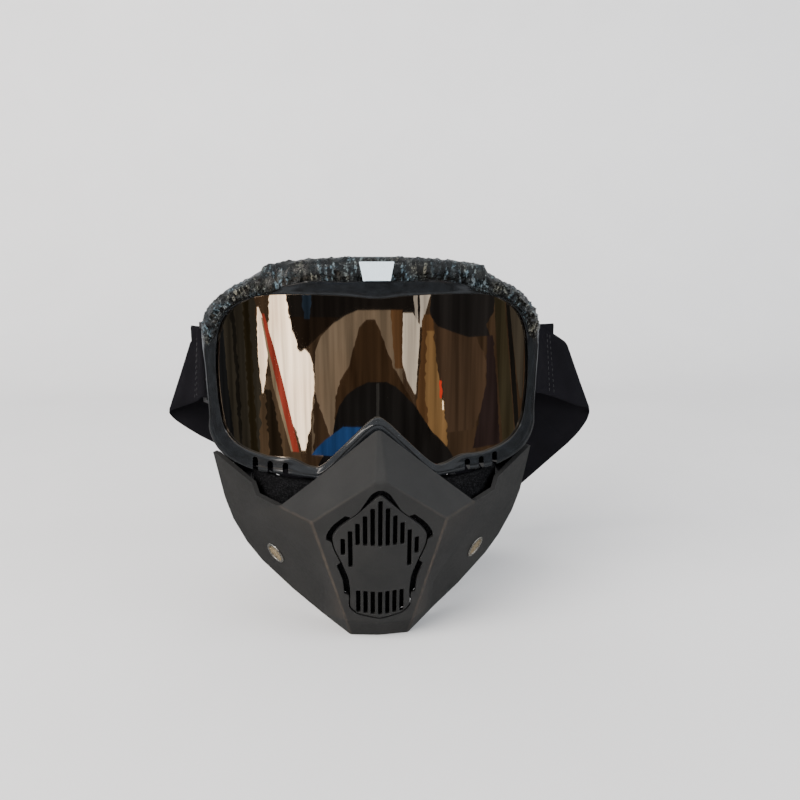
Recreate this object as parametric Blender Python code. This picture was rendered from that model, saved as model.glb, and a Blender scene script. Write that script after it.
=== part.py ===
"""Motorcycle goggles with a detachable face mask, standing on the chin of the mask.

Lengths in this file are millimetres, and MM turns them into Blender's metres.
The origin is on the flat under the chin. The front faces -Y, up is +Z, and the
wearer's left is +X. Nodes are named from the wearer's side.
"""
import math

import bmesh
import bpy
from mathutils import Matrix, Vector

MM = 0.001
GAP = 0.35                      # air kept between neighbouring solids
SIDES = (("left", 1), ("right", -1))

# Goggle frame and lens. Each station: lens opening (x, z), outer edge (x, z),
# for the wearer's left half, from the top of the frame round to the nose.
STATIONS = (
    ((0, 173.8), (0, 193)), ((14, 175), (16, 192.8)), ((32, 175.6), (35, 191.5)),
    ((53, 175), (54, 188.6)), ((66, 171.5), (69, 180.5)), ((75.5, 164.5), (83.5, 170.5)),
    ((80.5, 155), (91, 160)), ((82.5, 143), (92, 147)), ((83, 130), (90.4, 130)),
    ((82, 115), (90, 111.5)), ((79.5, 104.5), (90.4, 99.5)), ((72, 97), (83, 89.5)),
    ((58, 93.4), (65, 84)), ((44, 93.4), (47, 84)), ((34, 90), (35, 83.4)),
    ((27.5, 91.5), (27, 83.6)), ((14, 104.5), (14, 95.4)), ((5, 113.4), (5, 104.2)),
    ((0, 116), (0, 107)),
)
STATION_STEPS = 2               # samples between two stations
LENS_BEND = 120.0               # radius of the cylinder the lens is bent to
LENS_EDGE = 1.5                 # how far the lens reaches into its groove
LENS_FRONT, LENS_BACK = 1.3, 2.3
GROOVE_DEPTH, GROOVE_FRONT, GROOVE_BACK = 1.9, 1.0, 2.6
RIM_BACK, RIM_LIP = 6.5, 1.2    # back of the rim that carries the lens, and its inner lip
FRAME_WALL = 2.4
FLANGE_WIDTH, FLANGE_THICK = 15.0, 2.2
BACK_AT_CENTRE, BACK_RISE, HALF_WIDTH = 26.0, 34.0, 94.0
FOAM_WIDTH = 8.0
FOAM_AT_BROW, FOAM_AT_TEMPLE = 3.0, 8.5   # from the frame's edge in to the foam
FOAM_START = 0.7                # air between the bowed flange and the foam on it
FOAM_DEPTH, FLEECE_DEPTH = 8.0, 3.4
VENT_FOAM_THICK = 3.6
FOAM_STOP = 8.5                 # vent foam ends this far ahead of the frame's rear edge
BADGE = ((-6.8, 182.6), (6.8, 182.6), (8.8, 191.2), (-8.8, 191.2))
BADGE_THICK, BROW_LEAN = 1.1, 0.277
# Vent slots: where they are along x, then the cutter's corners from (x, lens depth, 0)
LOW_VENTS, LOW_VENT_BOX = (47, 55, 63.5), ((-1.1, -4, 80.5), (1.1, 12, 90.2))
TOP_VENTS, TOP_VENT_BOX = (22, 43), ((-7, 9, 182), (7, 15, 198))
# Lug on the frame's inside that takes the mask's stud, for the wearer's left
LUG_BOX = ((67.5, 40, 69), (77.6, 44, 90))
STUD_X, STUD_Z, STUD_RADIUS, STUD_BORE = 72, 74, 3.0, 3.4

# Outriggers that carry the strap
PIN_AT = (90.5, 64.5)
PIN_RADIUS, PIN_BORE = 1.5, 1.86
EAR_RADIUS, BARREL_RADIUS = 4.0, 3.6
EAR_LOW, BARREL_LOW, BARREL_HIGH, EAR_HIGH = 114.5, 120.0, 146.0, 151.5
EAR_THICK = 5.0
EAR_ROOT = ((86.8, 55.5), (93.2, 55.5))
ARM_ANGLE = math.radians(34)    # from straight back, turned outward
ARM_LOW, ARM_HIGH = 109.6, 156.4
STRAP_BAR = 12.0                # pin to strap bar

# Strap
STRAP_WIDTH, STRAP_THICK = 40.0, 1.8
SLIDER_LONG, SLIDER_DEEP, SLIDER_RAIL = 18.0, 5.2, 3.0

# Face mask
SHELL = 2.4
JAW_NORMAL = Vector((0.70, -0.60, -0.38)).normalized()
JAW_POINT = Vector((48, 8, 52))
EYELET_X, EYELET_Z = 55, 34.5
SLOT_WIDTH, SLOT_PITCH = 1.6, 3.6
PANEL_SLOPE = 0.225             # the front panel falls back this much per mm off centre
PANEL_RIDGE = ((96.0, -30.2), (68.0, -22.5), (40.0, -18.0), (12.5, -13.4))


# ---------------------------------------------------------------- helpers

def clear_scene():
    for obj in list(bpy.data.objects):
        bpy.data.objects.remove(obj, do_unlink=True)


def material(name, colour, roughness, metallic=0.0):
    made = bpy.data.materials.get(name)
    if made is None:
        made = bpy.data.materials.new(name)
        made.use_nodes = True
        shader = made.node_tree.nodes["Principled BSDF"]
        shader.inputs["Base Color"].default_value = (*colour, 1.0)
        shader.inputs["Roughness"].default_value = roughness
        shader.inputs["Metallic"].default_value = metallic
        made.diffuse_color = (*colour, 1.0)
    return made


FINISHES = {
    "frame_gloss": ((0.012, 0.013, 0.015), 0.18, 0.0),
    "lens_mirror": ((0.42, 0.30, 0.20), 0.05, 1.0),
    "badge": ((0.55, 0.66, 0.74), 0.35, 0.2),
    "foam": ((0.015, 0.015, 0.016), 0.95, 0.0),
    "fleece": ((0.03, 0.03, 0.032), 1.0, 0.0),
    "strap": ((0.016, 0.016, 0.019), 0.9, 0.0),
    "silicone": ((0.03, 0.03, 0.035), 0.5, 0.0),
    "matte_black": ((0.022, 0.022, 0.024), 0.5, 0.0),
    "mask_plastic": ((0.045, 0.045, 0.047), 0.55, 0.0),
    "steel": ((0.6, 0.6, 0.62), 0.3, 1.0),
    "mesh": ((0.42, 0.34, 0.22), 0.45, 0.8),
}


def to_object(name, bm, slot, origin=(0, 0, 0)):
    """Turn millimetre geometry into an object whose origin is at the given point."""
    bmesh.ops.recalc_face_normals(bm, faces=bm.faces)
    mesh = bpy.data.meshes.new(name)
    bm.to_mesh(mesh)
    bm.free()
    mesh.transform(Matrix.Translation(-Vector(origin)))
    mesh.transform(Matrix.Scale(MM, 4))
    obj = bpy.data.objects.new(name, mesh)
    obj.location = Vector(origin) * MM
    obj.data.materials.append(material(slot, *FINISHES[slot]))
    bpy.context.collection.objects.link(obj)
    return obj


def combine(target, tools, operation):
    """Join the tool solids to the target, or cut them from it."""
    for tool in tools:
        tool.hide_render = True
        tool.display_type = "WIRE"
        modifier = target.modifiers.new(tool.name, "BOOLEAN")
        modifier.operation = operation
        modifier.solver = "EXACT"
        modifier.object = tool


def smooth(points, steps, closed=False):
    """Catmull-Rom curve through the points, with this many samples to a stretch."""
    keys = [Vector(p) for p in points]
    if closed:
        keys = [keys[-1]] + keys + keys[:2]
    else:
        keys = [2 * keys[0] - keys[1]] + keys + [2 * keys[-1] - keys[-2]]
    curve = []
    for a, b, c, d in zip(keys, keys[1:], keys[2:], keys[3:]):
        for k in range(steps):
            t = k / steps
            bend = (2 * a - 5 * b + 4 * c - d) * t * t + (3 * b - a - 3 * c + d) * t ** 3
            curve.append(0.5 * (2 * b + (c - a) * t + bend))
    if not closed:
        curve.append(keys[-2])
    return curve


def loft(name, rings, slot, closed=False, origin=(0, 0, 0)):
    """Solid through rings of points. A closed one joins its last ring to its first."""
    bm = bmesh.new()
    loops = [[bm.verts.new(p) for p in ring] for ring in rings]
    pairs = list(zip(loops, loops[1:]))
    if closed:
        pairs.append((loops[-1], loops[0]))
    else:
        bm.faces.new(loops[0])
        bm.faces.new(loops[-1])
    for low, high in pairs:
        for j in range(len(low)):
            k = (j + 1) % len(low)
            bm.faces.new((low[j], low[k], high[k], high[j]))
    return to_object(name, bm, slot, origin)


def box(name, low, high, slot, turn=None):
    """Box between two corners, given in the axes of turn when there is one."""
    x0, y0, z0 = low
    x1, y1, z1 = high
    rings = [[(x0, y0, z), (x1, y0, z), (x1, y1, z), (x0, y1, z)] for z in (z0, z1)]
    turn = turn or Matrix.Identity(4)
    rings = [[turn @ Vector(p) for p in ring] for ring in rings]
    return loft(name, rings, slot)


def turned(name, profile, centre, axis, slot, sides=24, closed=True, origin=None):
    """Profile of (radius, height) turned about the axis; closed makes it a ring."""
    turn = Vector((0, 0, 1)).rotation_difference(Vector(axis)).to_matrix()
    rings = []
    for i in range(sides):
        angle = 2 * math.pi * i / sides
        spoke = Vector((math.cos(angle), math.sin(angle), 0))
        ring = [Vector(centre) + turn @ (spoke * r + Vector((0, 0, h))) for r, h in profile]
        rings.append(ring)
    if not closed:
        rings = [list(level) for level in zip(*rings)]
    return loft(name, rings, slot, closed=closed, origin=origin or (0, 0, 0))


def rod(name, radius, low, high, slot, sides=24, origin=None):
    """Round bar between two points."""
    low, high = Vector(low), Vector(high)
    length = (high - low).length
    profile = ((radius, 0), (radius, length))
    return turned(name, profile, low, high - low, slot, sides, False, origin)


def mirrored(point, side):
    return Vector((point[0] * side, *point[1:]))


# ---------------------------------------------------------------- goggles

def lens_depth(x):
    """How far back the lens surface is at this distance from the centre."""
    return LENS_BEND - math.sqrt(LENS_BEND ** 2 - x * x)


def frame_back(x):
    """Rear edge of the frame, shaped to a face."""
    return BACK_AT_CENTRE + BACK_RISE * (x / HALF_WIDTH) ** 2


def ring_stations():
    """(lens opening, outer edge) pairs all the way round, as smooth curves."""
    inner = [Vector(s[0]) for s in STATIONS]
    outer = [Vector(s[1]) for s in STATIONS]
    flip = Vector((-1, 1))
    inner += [p * flip for p in reversed(inner[1:-1])]
    outer += [p * flip for p in reversed(outer[1:-1])]
    return list(zip(smooth(inner, STATION_STEPS, True), smooth(outer, STATION_STEPS, True)))


def across(station, distance, depth):
    """Point at this distance out from the lens opening, at depth(x)."""
    opening, edge = station
    at = opening + (edge - opening).normalized() * distance
    return Vector((at.x, depth(at.x), at.y))


def ring_width(station):
    return (station[1] - station[0]).length


def goggle_frame(stations):
    rings = []
    for station in stations:
        width = ring_width(station)
        front = ((0, -0.4), (0.4 * width, -1.6), (width - 1.2, 1.0), (width, 3.5))
        rim = ((width - FRAME_WALL, RIM_BACK), (-RIM_LIP, RIM_BACK), (-RIM_LIP, GROOVE_BACK),
               (GROOVE_DEPTH, GROOVE_BACK), (GROOVE_DEPTH, GROOVE_FRONT), (0, GROOVE_FRONT))
        back = ((width, 0), (width - FLANGE_WIDTH, 0),
                (width - FLANGE_WIDTH, -FLANGE_THICK), (width - FRAME_WALL, -FLANGE_THICK))
        ring = [across(station, s, lambda x, d=d: lens_depth(x) + d) for s, d in front]
        ring += [across(station, s, lambda x, d=d: frame_back(x) + d) for s, d in back]
        ring += [across(station, s, lambda x, d=d: lens_depth(x) + d) for s, d in rim]
        rings.append(ring)
    frame = loft("goggle_frame", rings, "frame_gloss", closed=True)
    combine(frame, frame_ears() + frame_lugs(), "UNION")
    combine(frame, frame_cutters(), "DIFFERENCE")
    return frame


def frame_ears():
    """Two ears a side, which hold the outrigger's pin."""
    ears = []
    for name, side in SIDES:
        for level, low in (("low", EAR_LOW), ("high", EAR_HIGH - EAR_THICK)):
            outline = list(EAR_ROOT)
            for k in range(9):
                turn = math.pi * k / 8
                outline.append((PIN_AT[0] + EAR_RADIUS * math.cos(turn),
                                PIN_AT[1] + EAR_RADIUS * math.sin(turn)))
            rings = [[Vector((x * side, y, z)) for x, y in outline]
                     for z in (low, low + EAR_THICK)]
            ears.append(loft(f"ear_{level}_{name}", rings, "frame_gloss"))
    return ears


def frame_lugs():
    """A lug a side hangs from the frame and takes the mask's stud."""
    return [box(f"lug_{name}", mirrored(LUG_BOX[0], side), mirrored(LUG_BOX[1], side),
                "frame_gloss") for name, side in SIDES]


def frame_cutters():
    cutters = []
    for name, side in SIDES:
        x, y = PIN_AT[0] * side, PIN_AT[1]
        cutters.append(rod(f"pin_bore_{name}", PIN_BORE, (x, y, EAR_LOW - 2),
                           (x, y, EAR_HIGH + 2), "frame_gloss"))
        stud = Vector((STUD_X * side, LUG_BOX[0][1], STUD_Z))
        cutters.append(rod(f"stud_bore_{name}", STUD_BORE, stud - Vector((0, 2, 0)),
                           stud + Vector((0, 6, 0)), "frame_gloss", 20))
        for label, places, (low, high) in (("low", LOW_VENTS, LOW_VENT_BOX),
                                           ("top", TOP_VENTS, TOP_VENT_BOX)):
            for k, x in enumerate(places):
                at = Vector((x * side, lens_depth(x), 0))
                cutters.append(box(f"{label}_vent_{k}_{name}", at + Vector(low),
                                   at + Vector(high), "frame_gloss"))
    return cutters


def lens(stations):
    """Flat sheet with the opening's outline, bent round a vertical cylinder."""
    outline = [across(s, LENS_EDGE, lambda x: 0.0) for s in stations]
    return bent_plate("lens", [(p.x, p.z) for p in outline], LENS_FRONT, LENS_BACK,
                      lambda x, z: lens_depth(x), [6.0 * k for k in range(-13, 14)], [],
                      "lens_mirror")


def bent_plate(name, outline, front, back, surface, folds_x, folds_z, slot):
    """Plate with an (x, z) outline, folded at the given lines to follow the surface."""
    bm = bmesh.new()
    face = bm.faces.new([bm.verts.new((x, 0, z)) for x, z in outline])
    made = bmesh.ops.extrude_face_region(bm, geom=[face])["geom"]
    for vert in made:
        if isinstance(vert, bmesh.types.BMVert):
            vert.co.y = 1.0
    planes = [((x, 0, 0), (1, 0, 0)) for x in folds_x] + [((0, 0, z), (0, 0, 1)) for z in folds_z]
    for point, normal in planes:
        geom = bm.verts[:] + bm.edges[:] + bm.faces[:]
        bmesh.ops.bisect_plane(bm, geom=geom, plane_co=point, plane_no=normal, dist=0.0001)
    for vert in bm.verts:
        offset = back if vert.co.y > 0.5 else front
        vert.co.y = surface(vert.co.x, vert.co.z) + offset
    return to_object(name, bm, slot)


def badge_plate():
    """Blank trapezoid plate on the middle of the brow."""
    rings = []
    for thick in (0.0, BADGE_THICK):
        rings.append([Vector((x, -1.6 + BROW_LEAN * (z - 181.5) - GAP - thick, z))
                      for x, z in BADGE])
    return loft("badge_plate", rings, "badge")


def foam_inset(station):
    """The foam keeps clear of the outriggers at the temples."""
    share = min(max((abs(station[1].x) - 60) / 20, 0.0), 1.0)
    return FOAM_AT_BROW + (FOAM_AT_TEMPLE - FOAM_AT_BROW) * share


def face_ring(name, stations, near, far, inset, slot):
    """Soft ring on the frame's back flange, between two depths."""
    rings = []
    for station in stations:
        outer = ring_width(station) - foam_inset(station) - inset
        inner = ring_width(station) - foam_inset(station) - FOAM_WIDTH + inset
        ring = [across(station, s, lambda x, d=d: frame_back(x) + d)
                for s, d in ((outer, near), (outer, far), (inner, far), (inner, near))]
        rings.append(ring)
    return loft(name, rings, slot, closed=True)


def vent_foam(name, stations):
    """Strip of open foam inside the frame wall, behind the vent slots."""
    rings = []
    for station in stations:
        outer = ring_width(station) - FRAME_WALL - GAP
        near = [across(station, s, lambda x: lens_depth(x) + RIM_BACK + GAP)
                for s in (outer - VENT_FOAM_THICK, outer)]
        far = [across(station, s, lambda x: frame_back(x) - FOAM_STOP)
               for s in (outer, outer - VENT_FOAM_THICK)]
        rings.append(near + far)
    return loft(name, rings, "foam")


def goggles():
    stations = ring_stations()
    goggle_frame(stations)
    lens(stations)
    badge_plate()
    face_ring("face_foam", stations, FOAM_START, FOAM_DEPTH, 0.0, "foam")
    face_ring("face_fleece", stations, FOAM_DEPTH + GAP, FOAM_DEPTH + FLEECE_DEPTH, 0.6, "fleece")
    top = 3 * STATION_STEPS
    vent_foam("top_vent_foam", stations[-top:] + stations[:top + 1])
    low, high = 11 * STATION_STEPS + 1, 13 * STATION_STEPS
    vent_foam("lower_vent_foam_left", stations[low:high + 1])
    count = len(stations)
    vent_foam("lower_vent_foam_right", stations[count - high:count - low + 1])


# ---------------------------------------------------------------- outriggers

def outrigger(name, side):
    """Arm that swings on the frame's pin and carries the strap bar."""
    x, y = PIN_AT[0] * side, PIN_AT[1]
    origin = (x, y, (BARREL_LOW + BARREL_HIGH) / 2)
    arm = turned(f"outrigger_{name}", ((PIN_BORE, BARREL_LOW), (BARREL_RADIUS, BARREL_LOW),
                                       (BARREL_RADIUS, BARREL_HIGH), (PIN_BORE, BARREL_HIGH)),
                 (x, y, 0), (0, 0, 1), "matte_black", 20, True, origin)
    turn = Matrix.Translation((x, y, 0)) @ Matrix.Rotation(-ARM_ANGLE * side, 4, "Z")
    blocks = (
        ("web", (-1.3, 2.6, BARREL_LOW + 1), (1.3, 6.5, BARREL_HIGH - 1)),
        ("plate", (-1.3, 5.4, ARM_LOW), (1.3, 7.6, ARM_HIGH)),
        ("rail_low", (-1.3, 6.0, ARM_LOW), (1.3, 13.0, ARM_LOW + 2.6)),
        ("rail_high", (-1.3, 6.0, ARM_HIGH - 2.6), (1.3, 13.0, ARM_HIGH)),
    )
    tools = [box(f"{part}_{name}", low, high, "matte_black", turn) for part, low, high in blocks]
    bar = turn @ Vector((0, STRAP_BAR, 0))
    tools.append(rod(f"bar_{name}", 1.5, bar + Vector((0, 0, ARM_LOW + 1)),
                     bar + Vector((0, 0, ARM_HIGH - 1)), "matte_black", 16))
    combine(arm, tools, "UNION")


def hinge_pin(name, side):
    x, y = PIN_AT[0] * side, PIN_AT[1]
    rod(f"hinge_pin_{name}", PIN_RADIUS, (x, y, EAR_LOW + 0.3), (x, y, EAR_HIGH - 0.3), "steel",
        24, (x, y, EAR_LOW))


# ---------------------------------------------------------------- strap

def strap_bar(side):
    return Vector((side * (PIN_AT[0] + STRAP_BAR * math.sin(ARM_ANGLE)),
                   PIN_AT[1] + STRAP_BAR * math.cos(ARM_ANGLE), 0))


def level(x, y, low=113.0, high=153.0):
    """Upright ruling of the strap."""
    return Vector((x, y, high)), Vector((x, y, low))


def bar_loop(side, run_from):
    """Rulings of the sewn tail and of the turn round the outrigger's bar."""
    bar = strap_bar(side)
    radius = 1.5 + GAP + STRAP_THICK / 2
    run = (Vector((run_from.x, run_from.y, 0)) - bar).normalized()
    start = math.atan2(run.y, run.x) + side * math.pi / 2
    inner = Vector((math.cos(start), math.sin(start), 0)) * radius
    rulings = []
    for reach in (17.0, 9.0):
        at = bar + inner * (1.0 if reach < 10 else 0.75) + run * reach
        rulings.append(level(at.x, at.y))
    for k in range(7):
        turn = start + side * math.pi * k / 6
        rulings.append(level(bar.x + radius * math.cos(turn), bar.y + radius * math.sin(turn)))
    return rulings


# Rulings (upper edge, lower edge) of each side's bend, from outrigger to straight run
BENDS = {
    "left": (((107, 80, 149), (113, 83, 107.5)), ((116.5, 85, 143.5), (131, 90.5, 100)),
             ((121, 89, 139.5), (140, 95.5, 97)), ((118, 94.5, 134), (142, 100, 90)),
             ((110, 98.5, 124), (137.5, 103, 80))),
    "right": (((-100.5, 80, 150), (-105, 83, 108)), ((-104.5, 84, 146), (-117, 89, 103)),
              ((-106, 88, 143), (-123.5, 93.5, 99.5)), ((-103, 92, 138.5), (-122, 97, 94.5)),
              ((-96, 95, 129.5), (-114.5, 98.5, 88))),
}
# Straight run of each side that carries the slider: start and end of the lower edge
RUNS = {
    "left": ((131.0, 105.0, 71.5), (70.4, 110.4, 13.8), (-0.697, -0.06, 0.713)),
    "right": ((-107.0, 99.5, 82.5), (-34.6, 107.6, 38.9), (0.510, -0.03, 0.860)),
}
SLIDER_REST = {"left": 62.0, "right": 45.0}     # along the run
# Rulings behind the mask between the two straight runs, from left to right
HANG = (((36, 108, 38.6), (56, 111.3, 4.6)), ((27, 107.8, 38.4), (38, 112, 0.4)),
        ((18, 107.6, 41.5), (18, 112.2, 2.6)), ((8, 107.2, 48.8), (0, 111.6, 11.6)),
        ((-2, 106.9, 58.8), (-16, 110.2, 23.4)))


def run_frame(name):
    """Start of the lower edge, length, direction, width direction and normal of a run."""
    start, end, lean = (Vector(v) for v in RUNS[name])
    along = (end - start).normalized()
    width = (lean - along * lean.dot(along)).normalized()
    return start, (end - start).length, along, width, along.cross(width)


def run_rulings(name, distances):
    start, _, along, width, _ = run_frame(name)
    return [(start + along * d + width * STRAP_WIDTH, start + along * d) for d in distances]


def ribbon(name, rulings, origin=(0, 0, 0)):
    """Strap solid through rulings, each an upper and a lower edge point."""
    rings = []
    last = len(rulings) - 1
    for i, (upper, lower) in enumerate(rulings):
        before = rulings[max(i - 1, 0)]
        after = rulings[min(i + 1, last)]
        along = (after[0] + after[1]) - (before[0] + before[1])
        normal = along.cross(upper - lower).normalized() * (STRAP_THICK / 2)
        rings.append([upper - normal, upper + normal, lower + normal, lower - normal])
    return loft(name, rings, "strap", origin=origin)


def smooth_rulings(rulings, steps):
    upper = smooth([r[0] for r in rulings], steps)
    lower = smooth([r[1] for r in rulings], steps)
    return list(zip(upper, lower))


def side_strap(name, side):
    """Strap end: tail, turn round the outrigger's bar, and the bend beside the goggles."""
    bends = [(Vector(a), Vector(b)) for a, b in BENDS[name]]
    middle = (bends[0][0] + bends[0][1]) / 2
    loop = bar_loop(side, middle)
    run_start = run_rulings(name, (-0.6, -0.3))
    path = smooth_rulings([loop[-1]] + bends + run_start[:1], 3)
    ribbon(f"strap_{name}", loop[:-1] + path, (PIN_AT[0] * side, PIN_AT[1], 133))


def strap_back():
    """The part behind the mask: two straight runs and the bight that reaches the floor."""
    ends = {name: run_frame(name)[1] for name, _ in SIDES}
    hang = [(Vector(a), Vector(b)) for a, b in HANG]
    first = run_rulings("left", (ends["left"] - 4, ends["left"]))
    final = run_rulings("right", (ends["right"], ends["right"] - 4))
    middle = smooth_rulings(first + hang + final, 3)
    path = run_rulings("left", (0.0,)) + middle + run_rulings("right", (0.0,))
    ribbon("strap_back", path)


def slider(name, side):
    """Three-bar adjuster on the straight run."""
    start, _, along, width, normal = run_frame(name)
    centre = start + along * SLIDER_REST[name] + width * (STRAP_WIDTH / 2)
    turn = Matrix((along, width, normal)).transposed().to_4x4()
    turn.translation = centre
    half, deep = SLIDER_LONG / 2, SLIDER_DEEP / 2
    inner = STRAP_WIDTH / 2 + 0.6
    near = STRAP_THICK / 2 + GAP
    body = box(f"strap_slider_{name}", (-half, inner, -deep), (half, inner + SLIDER_RAIL, deep),
               "matte_black", turn)
    reach = inner + 1.0
    parts = (("rail", (-half, -inner - SLIDER_RAIL, -deep), (half, -inner, deep)),
             ("end_a", (-half, -reach, -deep), (-half + 3, reach, -near)),
             ("end_b", (half - 3, -reach, -deep), (half, reach, -near)),
             ("mid", (-1.6, -reach, near), (1.6, reach, deep)))
    combine(body, [box(f"{part}_{name}", low, high, "matte_black", turn)
                   for part, low, high in parts], "UNION")
    place_origin(body, centre)


def place_origin(obj, point):
    """Move an object's origin without moving its mesh."""
    shift = Vector(point) * MM - obj.location
    obj.data.transform(Matrix.Translation(-shift))
    obj.location += shift


def silicone_grip():
    """Two lines of grip on the strap's head side."""
    ends = {name: run_frame(name)[1] for name, _ in SIDES}
    hang = [(Vector(a), Vector(b)) for a, b in HANG]
    path = (run_rulings("left", (ends["left"] - 4, ends["left"])) + hang
            + run_rulings("right", (ends["right"], ends["right"] - 4)))
    path = smooth_rulings(path, 3)[5:-5]
    strips = []
    for share in (0.30, 0.66):
        rings = []
        last = len(path) - 1
        for i, (upper, lower) in enumerate(path):
            before, after = path[max(i - 1, 0)], path[min(i + 1, last)]
            along = (after[0] + after[1]) - (before[0] + before[1])
            normal = along.cross(upper - lower).normalized()
            if normal.y > 0:
                normal = -normal
            down = (lower - upper).normalized()
            middle = upper.lerp(lower, share)
            near = normal * (STRAP_THICK / 2 + GAP)
            far = near + normal * 0.7
            rings.append([middle - down + near, middle - down + far,
                          middle + down + far, middle + down + near])
        strips.append(rings)
    for label, rings in zip(("upper", "lower"), strips):
        loft(f"silicone_grip_{label}", rings, "silicone")


# ---------------------------------------------------------------- face mask

def panel_depth(x, z):
    """Outer face of the mask's front panel, creased down its middle."""
    for (high, near), (low, far) in zip(PANEL_RIDGE, PANEL_RIDGE[1:]):
        if z >= low or low == PANEL_RIDGE[-1][0]:
            return far + (near - far) * (z - low) / (high - low) + PANEL_SLOPE * abs(x)
    return 0.0


def jaw_depth(x, z):
    """Outer face of the jaw facet, which carries the eyelet."""
    n, p = JAW_NORMAL, JAW_POINT
    return p.y - (n.x * (x - p.x) + n.z * (z - p.z)) / n.y


def on_panel(x, z):
    return (x, panel_depth(x, z), z)


def on_jaw(x, z):
    return (x, jaw_depth(x, z), z)


MASK_POINTS = {
    "nose": (1.2, -10, 112), "ridge": on_panel(2.9, 92), "mid": on_panel(0, 68),
    "low": on_panel(0, 40), "base": on_panel(0, 12.5), "chin": (0, -3, 0),
    "heel": (0, 12, 0), "nose_side": (28, -5, 89), "brow": on_panel(33, 68),
    "crease": on_panel(25, 40), "corner": on_panel(17.2, 12.5), "chin_side": (15, -1.5, 0),
    "heel_side": (20, 12, 0), "valley": (50, 3, 70), "notch": (62.5, 14, 72.5),
    "step": (65, 18, 78.0), "tip": (86, 37, 88.8), "tip_back": (89, 43.5, 87.8),
    "cheek": on_jaw(74.5, 53), "bend": on_jaw(48, 52), "jaw_front": on_jaw(28, 26),
    "jaw_1": on_jaw(84, 61), "jaw_2": on_jaw(81, 46), "jaw_3": on_jaw(74, 31),
    "jaw_4": on_jaw(65.3, 21), "jaw_5": on_jaw(47, 9.5), "jaw_6": on_jaw(29, 2),
}
MASK_FACES = (
    ("nose", "ridge", "nose_side"), ("ridge", "brow", "nose_side"),
    ("nose_side", "brow", "valley"), ("ridge", "mid", "brow"),
    ("mid", "low", "crease", "brow"), ("low", "base", "corner", "crease"),
    ("base", "chin", "chin_side", "corner"), ("chin", "heel", "heel_side", "chin_side"),
    ("brow", "bend", "valley"), ("brow", "crease", "bend"), ("crease", "jaw_front", "bend"),
    ("crease", "corner", "jaw_front"), ("corner", "chin_side", "jaw_6"),
    ("corner", "jaw_6", "jaw_front"), ("chin_side", "heel_side", "jaw_6"),
    ("cheek", "bend", "jaw_front", "jaw_6", "jaw_5", "jaw_4", "jaw_3", "jaw_2", "jaw_1"),
    ("valley", "bend", "cheek"), ("valley", "cheek", "notch"), ("notch", "cheek", "step"),
    ("step", "cheek", "tip"), ("tip", "cheek", "tip_back"), ("tip_back", "cheek", "jaw_1"),
)
# Flat strip down the nose, between the two halves: point names and their sides
NOSE_STRIP = ((("nose", 1), ("nose", -1), ("ridge", -1), ("ridge", 1)),
              (("ridge", 1), ("ridge", -1), ("mid", 0)))
# Outline of the vent insert, wearer's left half, from its apex down
VENT_OUTLINE = ((0, 85.8), (12, 73.2), (20, 66), (23.4, 61), (22.6, 55), (18.6, 46),
                (15.6, 38), (14.8, 30), (15.4, 21), (11, 17.2), (0, 15.4))


def mask_shell():
    bm = bmesh.new()
    verts = {}
    for _, side in SIDES:
        for name, point in MASK_POINTS.items():
            key = (name, side if point[0] else 0)
            if key not in verts:
                verts[key] = bm.verts.new(mirrored(point, side))
    for _, side in SIDES:
        for names in MASK_FACES:
            corners = [verts[(n, side if MASK_POINTS[n][0] else 0)] for n in names]
            bm.faces.new(corners if side > 0 else list(reversed(corners)))
    for corners in NOSE_STRIP:
        bm.faces.new([verts[corner] for corner in corners])
    shell = surface_object("mask_shell", bm, "mask_plastic")
    wall = shell.modifiers.new("wall", "SOLIDIFY")
    wall.thickness = SHELL * MM
    wall.offset = -1
    wall.use_even_offset = True
    opening = bent_plate("vent_opening", vent_outline(GAP), -12, 14, lambda x, z: -20.0,
                         [], [], "mask_plastic")
    holes = [rod(f"eyelet_hole_{name}", 5.6, eyelet_point(side, -5), eyelet_point(side, 3),
                 "mask_plastic") for name, side in SIDES]
    combine(shell, [opening] + holes, "DIFFERENCE")


def surface_object(name, bm, slot):
    """Open sheet whose faces look outward, to be given its wall thickness."""
    bmesh.ops.recalc_face_normals(bm, faces=bm.faces)
    front = min(bm.faces, key=lambda f: f.calc_center_median().y)
    if front.normal.y > 0:
        bmesh.ops.reverse_faces(bm, faces=bm.faces)
    mesh = bpy.data.meshes.new(name)
    bm.to_mesh(mesh)
    bm.free()
    mesh.transform(Matrix.Scale(MM, 4))
    obj = bpy.data.objects.new(name, mesh)
    obj.data.materials.append(material(slot, *FINISHES[slot]))
    bpy.context.collection.objects.link(obj)
    return obj


def vent_outline(grow):
    """The insert's whole outline, moved outward by the given distance."""
    half = list(VENT_OUTLINE)
    points = [Vector(p) for p in half] + [Vector((-x, z)) for x, z in reversed(half[1:-1])]
    moved = []
    for i, point in enumerate(points):
        before, after = points[i - 1], points[(i + 1) % len(points)]
        a = (point - before).normalized()
        b = (after - point).normalized()
        normal = Vector((-(a.y + b.y), a.x + b.x)).normalized()
        corner = max(0.5, normal.dot(Vector((-a.y, a.x))))
        moved.append(tuple(point + normal * (grow / corner)))
    return moved


def panel_folds():
    return [0.0], [z for z, _ in PANEL_RIDGE[1:-1]]


def slot_boxes(tag, rows, front, back):
    """Upright slot cutters; each row is (index, top, bottom)."""
    cutters = []
    for index, top, bottom in rows:
        x = index * SLOT_PITCH
        middle = panel_depth(x, (top + bottom) / 2)
        half = SLOT_WIDTH / 2
        cutters.append(box(f"{tag}_{index}_{int(top)}", (x - half, middle + front, bottom),
                           (x + half, middle + back, top), "mask_plastic"))
    return cutters


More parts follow.
